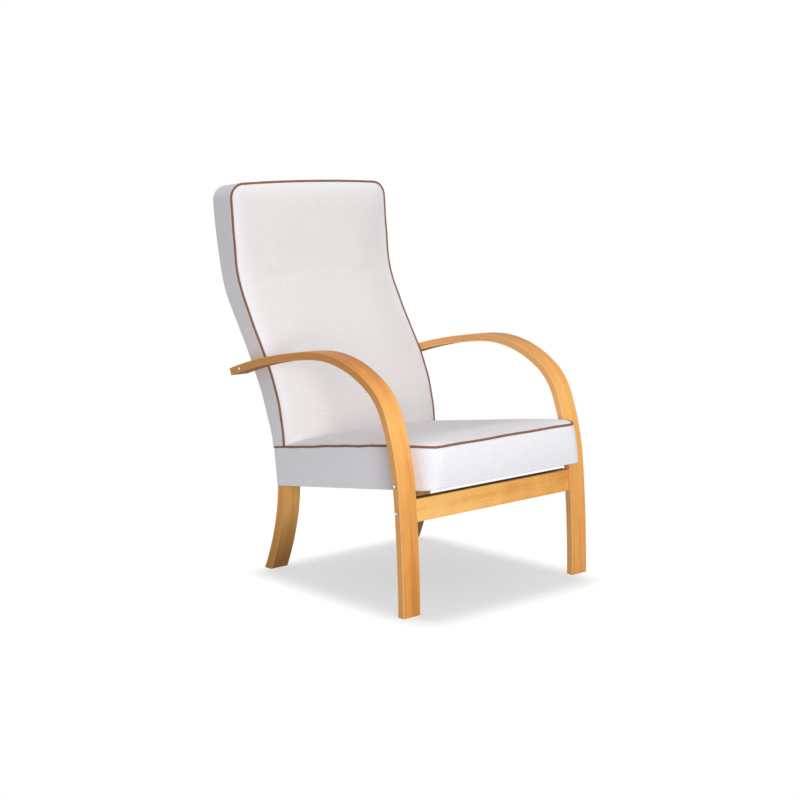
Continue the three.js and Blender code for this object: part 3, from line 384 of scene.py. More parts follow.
# A bar of rounded rectangular section along a path, with rounded ends. A foot's end is sawn level with the floor
def addBar(name, path, acrossAxis, outward, halfWidth, halfDepth, edge, material, foot=0.0):
    path, outward = np.asarray(path), np.asarray(outward)
    lengths = np.concatenate([[0], np.cumsum(np.linalg.norm(np.diff(path, axis=0), axis=1))])
    tangent = np.gradient(path, axis=0)
    tangent /= np.linalg.norm(tangent, axis=1)[:, None]
    rings, grain = [], []

    def ring(i, along, inset, scale=1.0):
        flat = sectionOutline(halfWidth - inset, halfDepth - inset, max(edge - inset, edge * 0.3)) * scale
        centre = path[i] + tangent[i] * along
        offset = flat[:, :1] * acrossAxis + flat[:, 1:] * outward[i]
        if foot:
            level = max(0.0, 1 - (lengths[i] + along) / foot)
            offset = offset - tangent[i] * (offset[:, 2:] / tangent[i][2] * level)
        rings.append(centre + offset)
        grain.append(np.column_stack([
            np.full(len(flat), lengths[i] + along), flat[:, 0], flat[:, 1] + halfDepth]))

    turn = [math.radians(a) for a in (90, 60, 30)]
    ring(0, 0, edge, 0.85)
    for a in turn:
        ring(0, edge * (1 - math.sin(a)), edge * (1 - math.cos(a)))
    ring(0, edge, 0)
    inside = [i for i in range(1, len(path) - 1) if edge * 1.6 < lengths[i] < lengths[-1] - edge * 1.6]
    for i in inside:
        ring(i, 0, 0)
    last = len(path) - 1
    ring(last, -edge, 0)
    for a in reversed(turn):
        ring(last, -edge * (1 - math.sin(a)), edge * (1 - math.cos(a)))
    ring(last, 0, edge, 0.85)
    count = len(rings[0])
    faces = ringFaces(len(rings), count)
    faces.append(tuple(range(count))[::-1])
    faces.append(tuple((len(rings) - 1) * count + i for i in range(count)))
    return addMesh(name, np.concatenate(rings), faces, material, {"grain": np.concatenate(grain)})


# Bend lines in the YZ plane: the length and turn of each run, as bent on the form

def bendCurve(start, degrees, length, shares, turns, soften=0.022, step=0.004):
    knots = np.concatenate([[0], np.cumsum(shares)]) * length
    headings = np.radians(degrees + np.concatenate([[0], np.cumsum(turns)]))
    s = np.linspace(0, length, int(round(length / step)) + 1)
    blur = np.linspace(-soften, soften, 9)
    heading = np.mean([np.interp(s + d, knots, headings) for d in blur], axis=0)
    middle = (heading[1:] + heading[:-1]) / 2
    run = np.diff(s)
    y = start[0] + np.concatenate([[0], np.cumsum(run * np.sin(middle))])
    z = start[1] + np.concatenate([[0], np.cumsum(run * np.cos(middle))])
    return np.column_stack([y, z, heading])


def offsetCurve(curve, distance):
    y, z, heading = curve.T
    return np.column_stack([y + distance * np.cos(heading), z - distance * np.sin(heading), heading])


def stripFromCurve(name, outerCurve, thickness, width, centreX, edge, material, inward=1):
    middle = offsetCurve(outerCurve, inward * thickness / 2)
    first = int(np.argmax(middle[:, 1] > 0))
    share = middle[first, 1] / (middle[first, 1] - middle[first - 1, 1])
    onFloor = middle[first] + (middle[first - 1] - middle[first]) * share
    middle = np.vstack([onFloor, middle[first:]])
    path = np.column_stack([np.full(len(middle), centreX), middle[:, 0] + frontY, middle[:, 1]])
    heading = middle[:, 2]
    outward = np.column_stack([np.zeros(len(middle)), np.cos(heading), -np.sin(heading)])
    return addBar(name, path, np.array([1.0, 0, 0]), outward, width / 2, thickness / 2, edge, material,
                  foot=0.06)


# Arms with their front legs, rail and rear legs

woodSizes = dict(
    overallWidth=0.661, armWidth=0.056, armThickness=0.020, armLength=1.161,
    armShares=(0.26, 0.164, 0.076, 0.208, 0.292), armTurns=(4.9, 17.8, 31.6, 40.6, 13.2), armFoot=0.9,
    armTail=0.0576, legWidth=0.057, legThickness=0.025, uprightSetIn=0.0068, uprightTopGap=0.043,
    lowerLength=0.244, lowerShares=(0.3, 0.7), lowerTurns=(10.8, 15.4), edge=0.0016,
)
seatSizes = dict(
    overhang=0.030, frontHeight=0.309, tilt=math.radians(7.4), depth=0.592, seam=0.102, bow=0.006,
    lean=0.009, bulge=0.003, cornerTop=0.056, cornerBottom=0.030, rearCorner=0.007,
    rise=0.009, run=0.046, dome=0.005, halfWidth=0.2742,
)


def seatPlace(u, v, w):
    s = seatSizes
    y = -s["overhang"] + v * math.cos(s["tilt"]) + w * math.sin(s["tilt"]) + frontY
    z = s["frontHeight"] - v * math.sin(s["tilt"]) + w * math.cos(s["tilt"])
    return np.stack([u + 0 * v, y + 0 * u, z + 0 * u], axis=-1)


# The rear leg's hidden part: from the seat's underside up inside the back
def uprightCurve(root):
    s = woodSizes
    behind = offsetCurve(backRear, -s["uprightSetIn"]) - [frontY, 0, 0]
    behind = behind[:int(len(behind) * (1 - s["uprightTopGap"] / backSizes["rearLength"]))]
    bottom = np.array([*root, 0.0])
    joining = bottom + (behind[0] - bottom) * np.linspace(0, 1, 26)[:-1, None]
    return np.concatenate([joining, behind])


def addWood():
    s = woodSizes
    armCurve = bendCurve((0, 0), s["armFoot"], s["armLength"], s["armShares"], s["armTurns"])
    foot = seatPlace(np.array(0.0), np.array(seatSizes["depth"] - 0.0023), np.array(0.0))
    root = (foot[1] - frontY, foot[2])
    upper = uprightCurve(root)
    lower = bendCurve((root[0], 0), 0, s["lowerLength"], s["lowerShares"], s["lowerTurns"])
    lower = np.column_stack([lower[:, 0], root[1] - lower[:, 1], -lower[:, 2]])[::-1]
    legCurve = np.concatenate([lower[:-1], upper])
    legX = seatSizes["halfWidth"] - 0.0019 - s["legWidth"] / 2
    for name, sign in sides.items():
        arm = stripFromCurve(f"armStrip_{name}", armCurve, s["armThickness"], s["armWidth"],
                             sign * (s["overallWidth"] - s["armWidth"]) / 2, s["edge"], armBeech[name])
        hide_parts(f"arm_leg_{name}")
        leg = stripFromCurve(f"rearLegStrip_{name}", legCurve, s["legThickness"], s["legWidth"], sign * legX,
                             s["edge"], rearLegBeech, inward=-1)
        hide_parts(f"rear_leg_{name}")
    low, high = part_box("front_rail")
    middle = (np.array(low) + np.array(high)) / 2
    xs = np.linspace(low[0], high[0], 90)
    path = np.column_stack([xs, np.full(90, middle[1]), np.full(90, middle[2])])
    outward = np.tile([0.0, -1.0, 0.0], (90, 1))
    rail = addBar("railBoard", path, np.array([0, 0, 1.0]), outward, (high[2] - low[2]) / 2,
                  (high[1] - low[1]) / 2, s["edge"], solidBeech)
    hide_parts("front_rail")
    print("wood made")


# Upholstery pads: u across, v along, w out towards the sitter

def spacing(length, close, step):
    close = np.array(close)
    middle = length - 2 * close[-1]
    inner = np.linspace(close[-1], length - close[-1], max(2, int(round(middle / step)) + 1))
    return np.concatenate([close[:-1], inner, (length - close[:-1])[::-1]]) / length


def roundCorners(u, v, half, low, high, lowCorner, highCorner):
    u, v = u.copy(), v.copy()
    for side in (-1, 1):
        for end, radius, way in ((low, lowCorner, -1), (high, highCorner, 1)):
            cu, cv = side * (half - radius), end - way * radius
            a, b = (u - cu) * side / radius, (v - cv) * way / radius
            at = (a > 0) & (b > 0)
            aa, bb = a[at], b[at]
            u[at] = cu + side * radius * aa * np.sqrt(1 - bb ** 2 / 2)
            v[at] = cv + way * radius * bb * np.sqrt(1 - aa ** 2 / 2)
    return u, v


def edgeDistance(u, v, half, low, high, lowCorner, highCorner):
    distance = np.minimum(half - np.abs(u), np.minimum(v - low, high - v))
    for end, radius, way in ((low, lowCorner, -1), (high, highCorner, 1)):
        a, b = np.abs(u) - (half - radius), (v - (end - way * radius)) * way
        at = (a > 0) & (b > 0)
        distance[at] = radius - np.hypot(a[at], b[at])
    return distance


# The pad's grid of (u, v), drawn in from its outline
def padGrid(outline, inset, shareU, shareV):
    half, low, high, lowCorner, highCorner = outline
    half, low, high = half - inset, low + inset, high - inset
    lowCorner, highCorner = max(lowCorner - inset, 0.002), max(highCorner - inset, 0.002)
    u, v = np.meshgrid(-half + 2 * half * shareU, low + (high - low) * shareV)
    return roundCorners(u, v, half, low, high, lowCorner, highCorner)


# Round the grid's border, once
def border(rows, columns):
    index = [(0, i) for i in range(columns)] + [(r, columns - 1) for r in range(1, rows)]
    index += [(rows - 1, i) for i in range(columns - 2, -1, -1)] + [(r, 0) for r in range(rows - 2, 0, -1)]
    return np.array(index)


# One pad as a cover: its panel, then rows down its walls. Returns points, faces, cloth places and what is pinned
def padCover(pad, step):
    outline = pad["outline"](1.0)
    shareU = spacing(2 * outline[0], pad["close"], step)
    shareV = spacing(outline[2] - outline[1], pad["close"], step)
    u, v = padGrid(outline, pad["seamInset"], shareU, shareV)
    distance = edgeDistance(u, v, *outline)
    w = pad["seam"](u, v) + pad["rise"](distance, u, v)
    rows, columns = u.shape
    points = [pad["place"](u, v, w).reshape(-1, 3)]
    cloth = [np.stack([u, v, pad["paintedHighlight"](distance, v)], -1).reshape(-1, 3)]
    pinned = [(distance < pad["pinWithin"]).ravel()]
    faces = ringFaces(rows, columns, closed=False)
    edge = border(rows, columns)
    rim = edge[:, 0] * columns + edge[:, 1]
    count = len(rim)
    previous, start = rim, rows * columns
    rimPoints = points[0][rim]
    around = np.concatenate([[0], np.cumsum(np.linalg.norm(np.diff(rimPoints, axis=0), axis=1))])
    for level, inset, lift, held in pad["walls"]:
        uu, vv = padGrid(pad["outline"](level), inset, shareU, shareV)
        uu, vv = uu[edge[:, 0], edge[:, 1]], vv[edge[:, 0], edge[:, 1]]
        ww = level * pad["seam"](uu, vv) + lift + pad["wallLift"](level, uu, vv)
        points.append(pad["place"](uu, vv, ww))
        # the walls take the paler edge colour all over, as painted light
        cloth.append(np.column_stack([around, ww, 0 * ww + 1]))
        pinned.append(np.full(count, held))
        row = np.arange(start, start + count)
        for i in range(count):
            j = (i + 1) % count
            faces.append((previous[j], previous[i], row[i], row[j]))
        previous, start = row, start + count
    return np.concatenate(points), faces, np.concatenate(cloth), np.concatenate(pinned)


# Lets the padding swell the cover, with the seams held, and keeps each point within the given reach
def swell(piece, pinned, look):
    scene = bpy.context.scene
    group = piece.vertex_groups.new(name="held")
    group.add([int(i) for i in np.flatnonzero(pinned)], 1.0, "REPLACE")
    before = np.array([v.co[:] for v in piece.data.vertices])
    cloth = piece.modifiers.new("padding", "CLOTH")
    settings = cloth.settings
    settings.quality = 6
    settings.mass = 0.25
    settings.tension_stiffness = settings.compression_stiffness = look["stiffness"]
    settings.shear_stiffness = look["stiffness"] / 3
    settings.bending_stiffness = look["bending"]
    settings.use_pressure = True
    settings.uniform_pressure_force = look["pressure"]
    settings.shrink_min = -look["slack"]
    settings.effector_weights.gravity = 0
    settings.vertex_group_mass = "held"
    cloth.collision_settings.use_collision = False
    cloth.point_cache.frame_start, cloth.point_cache.frame_end = 1, 24
    for number in range(1, 25):
        scene.frame_set(number)
    made = piece.evaluated_get(bpy.context.evaluated_depsgraph_get()).to_mesh()
    after = np.array([v.co[:] for v in made.vertices])
    piece.modifiers.remove(cloth)
    piece.vertex_groups.remove(group)
    scene.frame_set(1)
    moved = after - before
    far = np.linalg.norm(moved, axis=1)
    moved *= np.minimum(1, look["reach"] / np.maximum(far, 1e-9))[:, None]
    after = before + moved
    after[:, 0] = np.clip(after[:, 0], -seatSizes["halfWidth"], seatSizes["halfWidth"])  # clear of the arms
    piece.data.vertices.foreach_set("co", after.ravel())
    piece.data.update()
    print(f"{piece.name}: swelled, mean {far.mean() * 1000:.1f} mm, most {far.max() * 1000:.1f} mm")


def smoothOnce(piece):
    finer = piece.modifiers.new("finer", "SUBSURF")
    finer.levels = finer.render_levels = 1
    finer.boundary_smooth = "PRESERVE_CORNERS"


swellLook = dict(stiffness=15, bending=4.0, pressure=2.2, slack=0.001, reach=0.006)
pipeSizes = dict(radius=0.0031, inset=0.0021, sideCount=12)


# How the sewn line wanders between its stitches
def seamWander(u, v):
    return 0.0005 * np.sin(29 * v + 11 * u + 0.6) + 0.0004 * np.sin(71 * v - 37 * u + 2.1)


def crownRise(distance, rise, run, dome):
    inside = np.clip((distance - 0.0046) / run, 0, 1)
    fold = np.clip((distance - 0.0022) / 0.0024, 0, 1)
    crown = rise * np.sqrt(1 - (1 - inside) ** 2) + dome * np.clip((distance - 0.0046) / (2.2 * run), 0, 1)
    return -0.0024 * (1 - fold) + crown


seatPad = dict(
    place=seatPlace,
    outline=lambda level: (
        seatSizes["halfWidth"],
        -seatSizes["lean"] * level - seatSizes["bulge"] * math.sin(math.pi * min(level, 1)),
        seatSizes["depth"],
        seatSizes["cornerBottom"] + (seatSizes["cornerTop"] - seatSizes["cornerBottom"]) * level,
        seatSizes["rearCorner"],
    ),
    seam=lambda u, v: seatSizes["seam"] + seatSizes["bow"] * np.abs(u / seatSizes["halfWidth"]) ** 4 * np.sin(
        math.pi * np.sqrt(np.clip(v / seatSizes["depth"], 0, 1))),
    rise=lambda d, u, v: crownRise(d, seatSizes["rise"], seatSizes["run"], seatSizes["dome"])
    + seamWander(u, v) * np.exp(-d / 0.02),
    wallLift=lambda level, u, v: seamWander(u, v) * level ** 6,
    close=(0, 0.0035, 0.0085, 0.015),
    seamInset=0.0026, pinWithin=0.007,
    paintedHighlight=lambda d, v: np.maximum(0.4 * np.exp(-(d / 0.03) ** 2), np.exp(-((v + 0.009) / 0.14) ** 2)),
    walls=[(1.0, 0.0005, -0.0032, True), (0.93, 0.0, 0, True), (0.86, 0.0, 0, False), (0.79, 0.0, 0, False),
           (0.72, 0.0, 0, False), (0.64, 0.0, 0, False), (0.56, 0.0, 0, False), (0.48, 0.0, 0, False),
           (0.40, 0.0, 0, False), (0.32, 0.0, 0, False), (0.24, 0.0, 0, False), (0.16, 0.0, 0, False),
           (0.09, 0.0, 0, True), (0.03, 0.0, 0, True), (0.0, 0.0002, 0.0004, True), (0.0, 0.0012, 0.0, True),
           (0.0, 0.0017, 0.0012, True), (0.0, 0.0017, 0.008, True)],
)

backSizes = dict(
    rearLength=0.741, rearShares=(0.09, 0.12, 0.36, 0.08, 0.35), rearTurns=(20.1, -3.6, 12.8, -19.5, -13.6),
    rearDegrees=6.3, frontLength=0.733, frontShares=(0.172, 0.206, 0.237, 0.092, 0.293),
    frontTurns=(15.1, 15.2, -8.3, -18.3, -4.7), frontDegrees=3.7, baseDepth=0.045,
    corner=0.041, rise=0.011, run=0.055, dome=0.006, topBow=0.0075,
)
seatRear = seatPlace(np.array(0.0), np.array(seatSizes["depth"]), np.array(seatSizes["seam"]))
seatInner = seatPlace(np.array(0.0), np.array(seatSizes["depth"] - backSizes["baseDepth"]), np.array(seatSizes["seam"]))
backRear = bendCurve(seatRear[1:], backSizes["rearDegrees"], backSizes["rearLength"],
                     backSizes["rearShares"], backSizes["rearTurns"])
backFront = bendCurve(seatInner[1:], backSizes["frontDegrees"], backSizes["frontLength"],
                      backSizes["frontShares"], backSizes["frontTurns"])


# The outside back is drawn in above the seat and stands proud where it turns at the loins
outsideLine = dict(drawnIn=0.0058, drawnAt=0.468, drawnReach=0.055, proud=0.0045, proudAt=0.66, proudReach=0.07)
backOutside = backRear.copy()
backOutside[:, 0] += outsideLine["proud"] * np.exp(
    -((backRear[:, 1] - outsideLine["proudAt"]) / outsideLine["proudReach"]) ** 2)
backOutside[:, 0] -= outsideLine["drawnIn"] * np.exp(
    -((backRear[:, 1] - outsideLine["drawnAt"]) / outsideLine["drawnReach"]) ** 2)


def alongCurve(curve, share):
    at = np.clip(share, 0, 1) * (len(curve) - 1)
    grid = np.arange(len(curve))
    return np.interp(at, grid, curve[:, 0]), np.interp(at, grid, curve[:, 1])


def backDepth(v):
    share = v / backSizes["frontLength"]
    (ry, rz), (fy, fz) = alongCurve(backOutside, share), alongCurve(backFront, share)
    return np.hypot(fy - ry, fz - rz)


def backPlace(u, v, w):
    nearTop = np.clip(v / backSizes["frontLength"] * 6 - 5, 0, 1)
    v = v - backSizes["topBow"] * np.abs(u / seatSizes["halfWidth"]) ** 2.2 * nearTop ** 2
    share = v / backSizes["frontLength"]
    (ry, rz), (fy, fz) = alongCurve(backOutside, share), alongCurve(backFront, share)
    depth = np.hypot(fy - ry, fz - rz)
    y, z = ry + (fy - ry) / depth * w, rz + (fz - rz) / depth * w
    over = v - np.clip(v, 0, backSizes["frontLength"])  # past either end
    return np.stack([u + 0 * v, y + 0 * u, z + over + 0 * u], axis=-1)


backPad = dict(
    place=backPlace,
    outline=lambda level: (seatSizes["halfWidth"], 0.0, backSizes["frontLength"], 0.004, backSizes["corner"]),
    seam=lambda u, v: backDepth(v),
    rise=lambda d, u, v: crownRise(np.where(v < 0.08, np.maximum(d, np.minimum(
        seatSizes["halfWidth"] - np.abs(u), 0.05)), d), backSizes["rise"], backSizes["run"], backSizes["dome"])
    + seamWander(u, v) * np.exp(-d / 0.02),
    wallLift=lambda level, u, v: seamWander(u, v) * level ** 6,
    close=(0, 0.0035, 0.0085, 0.015),
    seamInset=0.0026, pinWithin=0.007, paintedHighlight=lambda d, v: np.exp(-(d / 0.03) ** 2),
    walls=[(1.0, 0.0005, -0.0032, True), (0.90, 0.0, 0, True), (0.80, 0.0, 0, False), (0.70, 0.0, 0, False),
           (0.60, 0.0, 0, False), (0.50, 0.0, 0, False), (0.40, 0.0, 0, False), (0.30, 0.0, 0, False),
           (0.20, 0.0, 0, False), (0.11, 0.0, 0, True), (0.05, 0.0, 0, True), (0.0, 0.0006, 0.0009, True),
           (0.0, 0.0022, 0.0, True), (0.0, 0.0048, 0.0002, True), (0.0, 0.0062, 0.0015, True),
           (0.0, 0.0064, 0.0045, True)],
)


# The outline from its open end round and back, for the piping
def openOutline(outline, inset, flip, step=0.004):
    half, low, high, lowCorner, highCorner = outline
    if flip:
        lowCorner, highCorner = highCorner, lowCorner
    half, low, high = half - inset, low + inset, high - inset
    radius = lowCorner - inset
    line = [(-half, v) for v in np.arange(high, low + radius, -step)]
    line += [(-half + radius - radius * math.cos(a), low + radius - radius * math.sin(a))
             for a in np.linspace(0, math.pi / 2, 14)]
    line += [(u, low) for u in np.arange(-half + radius + step, half - radius, step)]
    line += [(half - radius + radius * math.sin(a), low + radius - radius * math.cos(a))
             for a in np.linspace(0, math.pi / 2, 14)]
    line += [(half, v) for v in np.arange(low + radius + step, high + step / 2, step)]
    u, v = np.array(line).T
    return u, (outline[1] + outline[2] - v if flip else v)


def addPiping(name, pad, flip, node, endGap=0.0):
    size = pipeSizes
    u, v = openOutline(pad["outline"](1.0), size["inset"], flip)
    if endGap:
        keep = v > endGap
        u, v = u[keep], v[keep]
    w = pad["seam"](u, v) + seamWander(u, v)
    centres = pad["place"](u, v, w)
    outward = pad["place"](u, v, w + 0.002) - centres
    tangent = np.gradient(centres, axis=0)
    tangent /= np.linalg.norm(tangent, axis=1)[:, None]
    outward -= tangent * np.sum(outward * tangent, axis=1)[:, None]
    outward /= np.linalg.norm(outward, axis=1)[:, None]
    across = np.cross(tangent, outward)
    along = np.concatenate([[0], np.cumsum(np.linalg.norm(np.diff(centres, axis=0), axis=1))])
    angles = np.linspace(0, 2 * math.pi, size["sideCount"], endpoint=False)
    rings, cloth = [], []
    for k, centre in enumerate(centres):
        radius = size["radius"] * (1 + 0.025 * math.sin(along[k] * 210) + 0.02 * math.sin(along[k] * 93 + 1))
        if k in (0, len(centres) - 1):
            radius *= 0.7
        rings.append(centre + radius * (np.cos(angles)[:, None] * outward[k] + np.sin(angles)[:, None] * across[k]))
        cloth.append(np.column_stack([angles * size["radius"], np.full(len(angles), along[k]), 0 * angles]))
    faces = ringFaces(len(rings), len(angles))
    faces.append(tuple(range(len(angles)))[::-1])
    faces.append(tuple((len(rings) - 1) * len(angles) + i for i in range(len(angles))))
    cord = addMesh(name, np.concatenate(rings), faces, pipingFabric, {"cloth": np.concatenate(cloth)})
    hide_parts(node)
    return cord


def addSeat():
    points, faces, cloth, pinned = padCover(seatPad, 0.008)
    cover = addMesh("seatUpholstery", points, faces, seatFabric, {"cloth": cloth})
    swell(cover, pinned, swellLook)
    smoothOnce(cover)
    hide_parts("seat_cover", "seat_foam")
    addPiping("seatPipingCord", seatPad, False, "seat_piping")
    print("seat made")


def addBack():
    points, faces, cloth, pinned = padCover(backPad, 0.008)
    cover = addMesh("backUpholstery", points, faces, coverFabric, {"cloth": cloth})
    swell(cover, pinned, swellLook)
    smoothOnce(cover)
    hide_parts("back_cover", "back_foam")
    addPiping("backPipingCord", backPad, True, "back_piping", endGap=0.001)
    print("back made")


# The taut panel that closes the back from behind
def addOutsideBack():
    inset, step = 0.0066, 0.009
    outline = backPad["outline"](0)
    shareU = spacing(2 * outline[0], (0, 0.002, 0.005, 0.010, 0.018), step)
    shareV = spacing(outline[2], (0, 0.002, 0.005, 0.010, 0.018), step)
    u, v = padGrid(outline, inset, shareU, shareV)
    edge = edgeDistance(u, v, *outline) - inset
    roll = np.sqrt(1 - (1 - np.clip(edge / 0.004, 0, 1)) ** 2)
    w = 0.0042 - 0.0046 * roll - 0.0010 * np.clip(edge / 0.05, 0, 1) ** 0.7
    points = backPlace(u, v, w).reshape(-1, 3)
    rows, columns = u.shape
    faces = [f[::-1] for f in ringFaces(rows, columns, closed=False)]
    cloth = np.stack([u, v, 0 * u], -1).reshape(-1, 3)
    panel = addMesh("outsideBack", points, faces, coverFabric, {"cloth": cloth})
    smoothOnce(panel)
    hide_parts("back_outside_panel")
    print("outside back made")


# Fasteners

def addBolt(name, node, sign):
    low, high = [np.array(p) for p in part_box(node)]
    centre, headX = (low + high) / 2, (high if sign > 0 else low)[0]
    head, shank, rise, socket = 0.0052, 0.003, 0.0032, 0.0018
    length = high[0] - low[0]
    count = 36
    angles = np.linspace(0, 2 * math.pi, count, endpoint=False)
    hexagon = socket / np.cos((angles + math.pi / 6) % (math.pi / 3) - math.pi / 6)
    profile = [(0.0001, length), (shank, length), (shank, rise), (head - 0.0004, rise), (head, rise - 0.0003)]
    profile += [(head * math.cos(a), rise - 0.0003 - (rise - 0.0003) * math.sin(a)) for a in np.linspace(0.15, 1.1, 8)]
    rings = []
    for radius, depth in profile:
        rings.append((np.full(count, radius), depth))
    rings += [(hexagon * 1.12, 0.00012), (hexagon, 0.0004), (hexagon, 0.0018), (hexagon * 0.02, 0.0019)]
    # how far out on the head each ring lies, for the painted shade at its rim
    rim = [np.outer(np.clip((radii / head - 0.62) / 0.36, 0, 1), [1, 0, 0]) for radii, depth in rings]
    points = [np.column_stack([np.full(count, headX - sign * depth), centre[1] + radii * np.cos(angles),
                               centre[2] + radii * np.sin(angles)]) for radii, depth in rings]
    faces = ringFaces(len(rings), count)
    if sign < 0:
        faces = [f[::-1] for f in faces]
    bolt = addMesh(name, np.concatenate(points), faces, zincPlate, {"rim": np.concatenate(rim)})
    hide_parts(node)


def addBolts():
    for kind in ("rail", "seat", "back"):
        for name, sign in sides.items():
            addBolt(f"{kind}BoltHead_{name}", f"{kind}_bolt_{name}", sign)
    print("bolts made")


# Underside

def addUnderside():
    low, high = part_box("seat_dust_cover")
    s = seatSizes
    ends = [(p[1] - frontY + s["overhang"]) / math.cos(s["tilt"]) for p in (low, high)]
    half = high[0] - 0.001
    us, vs = np.linspace(-half, half, 48), np.linspace(ends[0] + 0.002, ends[1] - 0.002, 48)
    u, v = np.meshgrid(us, vs)
    a, b = np.abs(u) / half, np.abs(v - vs.mean()) / (vs[-1] - vs[0]) * 2
    sag = 0.004 * (1 - a ** 4) * (1 - b ** 4) + 0.0006 * np.sin(u * 60) * np.sin(v * 47 + 1)
    w = 0.0030 - np.maximum(sag, 0)
    points = seatPlace(u, v, w).reshape(-1, 3)
    faces = [f[::-1] for f in ringFaces(48, 48, closed=False)]
    cloth = addMesh("dustSheet", points, faces, dustCloth)
    thick = cloth.modifiers.new("thickness", "SOLIDIFY")
    thick.thickness, thick.offset = 0.0008, -1
    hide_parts("seat_dust_cover")
    addStaples(half, vs)
    addTurnedEdge()
    print("underside made")


# Staples that hold the dust sheet, round its edge
def addStaples(half, vs):
    inset, pitch, crown, wire, proud = 0.006, 0.045, 0.010, 0.0009, 0.0021
    low, high = vs[0] + inset, vs[-1] - inset
    us = np.linspace(-half + 0.03, half - 0.03, int(2 * half / pitch))
    along = np.linspace(low + 0.03, high - 0.03, int((high - low) / pitch))
    spots = [(u, v, 0.0) for v in (low, high) for u in us]
    spots += [(u, v, math.pi / 2) for u in (-half + inset, half - inset) for v in along]
    points, faces = [], []
    box = [(a, b, c) for a in (-1, 1) for b in (-1, 1) for c in (-1, 1)]
    sidesOfBox = [(0, 1, 3, 2), (4, 6, 7, 5), (0, 4, 5, 1), (2, 3, 7, 6), (0, 2, 6, 4), (1, 5, 7, 3)]
    for number, (u, v, turn) in enumerate(spots):
        turn += 0.12 * math.sin(number * 2.3)
        start = len(points)
        for a, b, c in box:
            x, y = a * crown / 2, b * wire / 2
            place = seatPlace(np.array(u + x * math.cos(turn) - y * math.sin(turn)),
                              np.array(v + x * math.sin(turn) + y * math.cos(turn)), np.array(proud + c * 0.0004))
            points.append(place)
        faces += [tuple(start + k for k in face) for face in sidesOfBox]
    addMesh("dustSheetStaples", points, faces, zincPlate, smooth=False)


# The cover's edge turned under the seat's rear rail, between the legs
def addTurnedEdge():
    half = seatSizes["halfWidth"] - 0.0019 - woodSizes["legWidth"] - 0.001
    us, vs = np.linspace(-half, half, 40), np.linspace(0.5610, 0.5902, 7)
    u, v = np.meshgrid(us, vs)
    w = 0.0012 - 0.0007 * np.sin((v - vs[0]) / (vs[-1] - vs[0]) * math.pi) + 0.0002 * np.sin(u * 80)
    points = seatPlace(u, v, w).reshape(-1, 3)
    faces = [f[::-1] for f in ringFaces(7, 40, closed=False)]
    cloth = np.stack([u, v, 0 * u], -1).reshape(-1, 3)
    flap = addMesh("seatTurnedEdge", points, faces, seatFabric, {"cloth": cloth})
    thick = flap.modifiers.new("thickness", "SOLIDIFY")
    thick.thickness, thick.offset = 0.0008, 1


# Inner pieces keep their CAD shape and get their finishes

def finishInnerPieces():
    finishes = {"frame_wood": frameTimber, "webbing": strapWebbing, "zinc": zincPlate, "foam": paddingFoam,
                "cover_fabric": coverFabric, "beech": solidBeech, "piping": pipingFabric}
    slots = {part["node"]: part["material_slot"] for part in frame["record"]["subparts"]}
    for node, piece in frame["nodes"].items():
        for holder in piece.material_slots:
            holder.material = finishes[slots[node]]
    print("inner pieces finished")


# Floor, light and camera

studio = dict(
    ambient=0.440, ambientColour=(0.97, 0.985, 1.0), floorColour=(0.335, 0.335, 0.343), floorSeen=(0.497, 0.502, 0.505), floorGlow=0.565, floorFade=(0.62, 1.15),
    front=dict(place=(1.5, -4.2, 0.85), size=1.4, power=21, colour=(0.985, 0.995, 1.02)),
    left=dict(place=(-2.6, -3.8, 0.95), size=1.8, power=121, colour=(0.99, 0.995, 1.015)),
    top=dict(place=(0.0, -1.1, 3.2), size=1.6, power=26.5, colour=(1.0, 1.0, 1.0)),
    rear=dict(place=(0.5, 3.7, 0.60), size=1.8, power=40, colour=(0.985, 0.995, 1.015)),
    floor=dict(place=(0.11, -0.09, 2.4), size=0.60, power=41, colour=(1.0, 1.0, 1.0)),
)
photoCamera = dict(lens=72.67, azimuth=42.497, pitch=8.735, distance=3.9554, height=1.1040, across=-0.25245)


def addLamp(name, look):
    lamp = bpy.data.lights.new(name, "AREA")
    lamp.shape, lamp.size, lamp.energy, lamp.color = "SQUARE", look["size"], look["power"], look["colour"]
    holder = bpy.data.objects.new(name, lamp)
    holder.location = look["place"]
    holder.rotation_euler = (Vector((0, 0.0, 0.5)) - Vector(look["place"])).to_track_quat("-Z", "Y").to_euler()
    bpy.context.scene.collection.objects.link(holder)
    return holder


# What the camera sees, straight or in a gloss
def seenRay(paint):
    return paint.node("ShaderNodeLightPath", out="Is Camera Ray").most(
        paint.node("ShaderNodeLightPath", out="Is Glossy Ray"))


def lampGroup(name, pieces, without=False):
    group = bpy.data.collections.new(name)
    for piece in pieces:
        group.objects.link(piece)
    if without:
        for entry in group.collection_objects:
            entry.light_linking.link_state = "EXCLUDE"
    return group


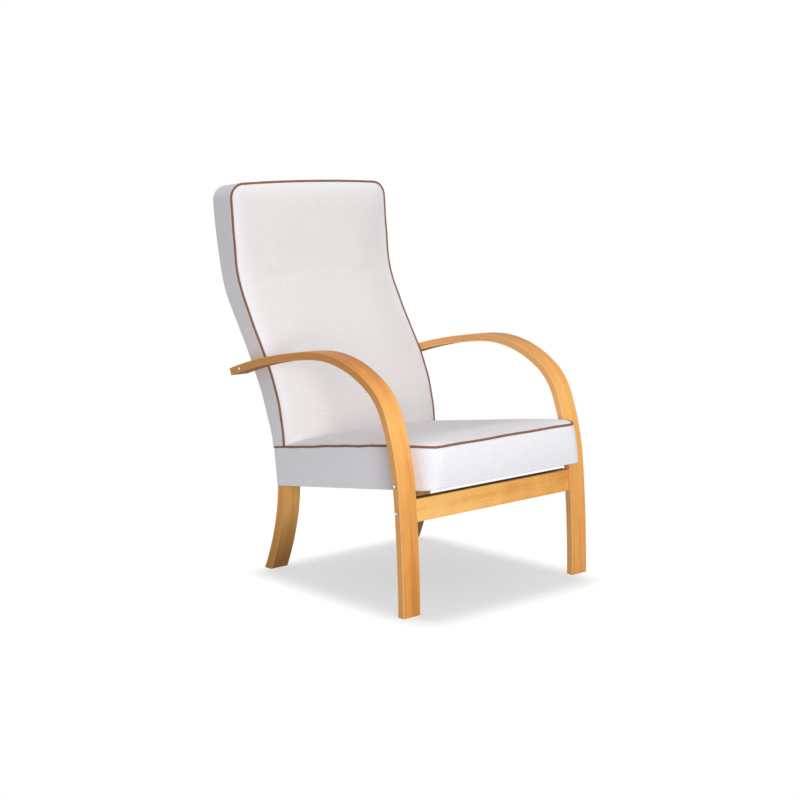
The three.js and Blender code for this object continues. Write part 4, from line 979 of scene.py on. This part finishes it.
def addStudio():
    world = bpy.data.worlds.new("studio")
    bpy.context.scene.world = world
    paint = Paint(world)
    soft = paint.node("ShaderNodeBackground", inputs={"Color": (*studio["ambientColour"], 1), "Strength": studio["ambient"]})
    white = paint.node("ShaderNodeBackground", inputs={"Color": (1, 1, 1, 1), "Strength": 1.0})
    ray = seenRay(paint)
    both = paint.node("ShaderNodeMixShader", inputs={0: ray, 1: soft, 2: white})
    paint.node("ShaderNodeOutputWorld", inputs={"Surface": both})
    floorPaint = Paint("floorPaint")
    pale = floorPaint.node("ShaderNodeBsdfDiffuse", inputs={"Color": (*studio["floorColour"], 1)})
    glow = floorPaint.node("ShaderNodeEmission", inputs={"Color": (1, 1, 1, 1), "Strength": studio["floorGlow"]})
    bright = floorPaint.node("ShaderNodeBsdfDiffuse", inputs={"Color": (*studio["floorSeen"], 1)})
    seen = floorPaint.node("ShaderNodeAddShader", inputs={0: bright, 1: glow})
    ray = seenRay(floorPaint)
    away = floorPaint.node("ShaderNodeVectorMath", {"operation": "LENGTH"}, {0: floorPaint.place()}, out="Value")
    white = floorPaint.node("ShaderNodeEmission", inputs={"Color": (1, 1, 1, 1), "Strength": 1.0})
    fading = floorPaint.node("ShaderNodeMixShader", inputs={0: away.ramp(*studio["floorFade"]), 1: seen, 2: white})
    mixed = floorPaint.node("ShaderNodeMixShader", inputs={0: ray, 1: pale, 2: fading})
    floorPaint.node("ShaderNodeOutputMaterial", inputs={"Surface": mixed})
    bpy.ops.mesh.primitive_plane_add(size=24, location=(0, 0, -0.0002))
    floor = bpy.context.object
    floor.name = "studioFloor"
    floor.data.materials.append(floorPaint.owner)
    allButFloor = lampGroup("allButFloor", [floor], without=True)
    for name in ("front", "left", "top", "rear"):
        addLamp(f"{name}Lamp", studio[name]).light_linking.receiver_collection = allButFloor
    floorLamp = addLamp("floorLamp", studio["floor"])  # its shadow is the seat's alone
    floorLamp.light_linking.receiver_collection = lampGroup("floorOnly", [floor])
    blockers = [bpy.data.objects[name] for name in ("seatUpholstery", "railBoard")]
    floorLamp.light_linking.blocker_collection = lampGroup("floorShadow", blockers)


def addCamera():
    p = photoCamera
    turn, pitch = math.radians(p["azimuth"]), math.radians(p["pitch"])
    right = Vector((math.cos(turn), -math.sin(turn), 0))
    ahead = Vector((math.sin(turn) * math.cos(pitch), math.cos(turn) * math.cos(pitch), -math.sin(pitch)))
    level = Vector((math.sin(turn), math.cos(turn), 0))
    eye = Vector((0, frontY, p["height"])) - level * p["distance"] + right * p["across"]
    lens = bpy.data.cameras.new("photoCamera")
    lens.lens, lens.sensor_width = p["lens"], 36
    holder = bpy.data.objects.new("photoCamera", lens)
    holder.location = eye
    holder.rotation_euler = ahead.to_track_quat("-Z", "Y").to_euler()
    bpy.context.scene.collection.objects.link(holder)
    bpy.context.scene.camera = holder


addWood()
addSeat()
addBack()
addOutsideBack()
addBolts()
addUnderside()
finishInnerPieces()
addStudio()
addCamera()
bpy.context.scene.view_settings.view_transform = "Standard"
bpy.context.view_layer.update()
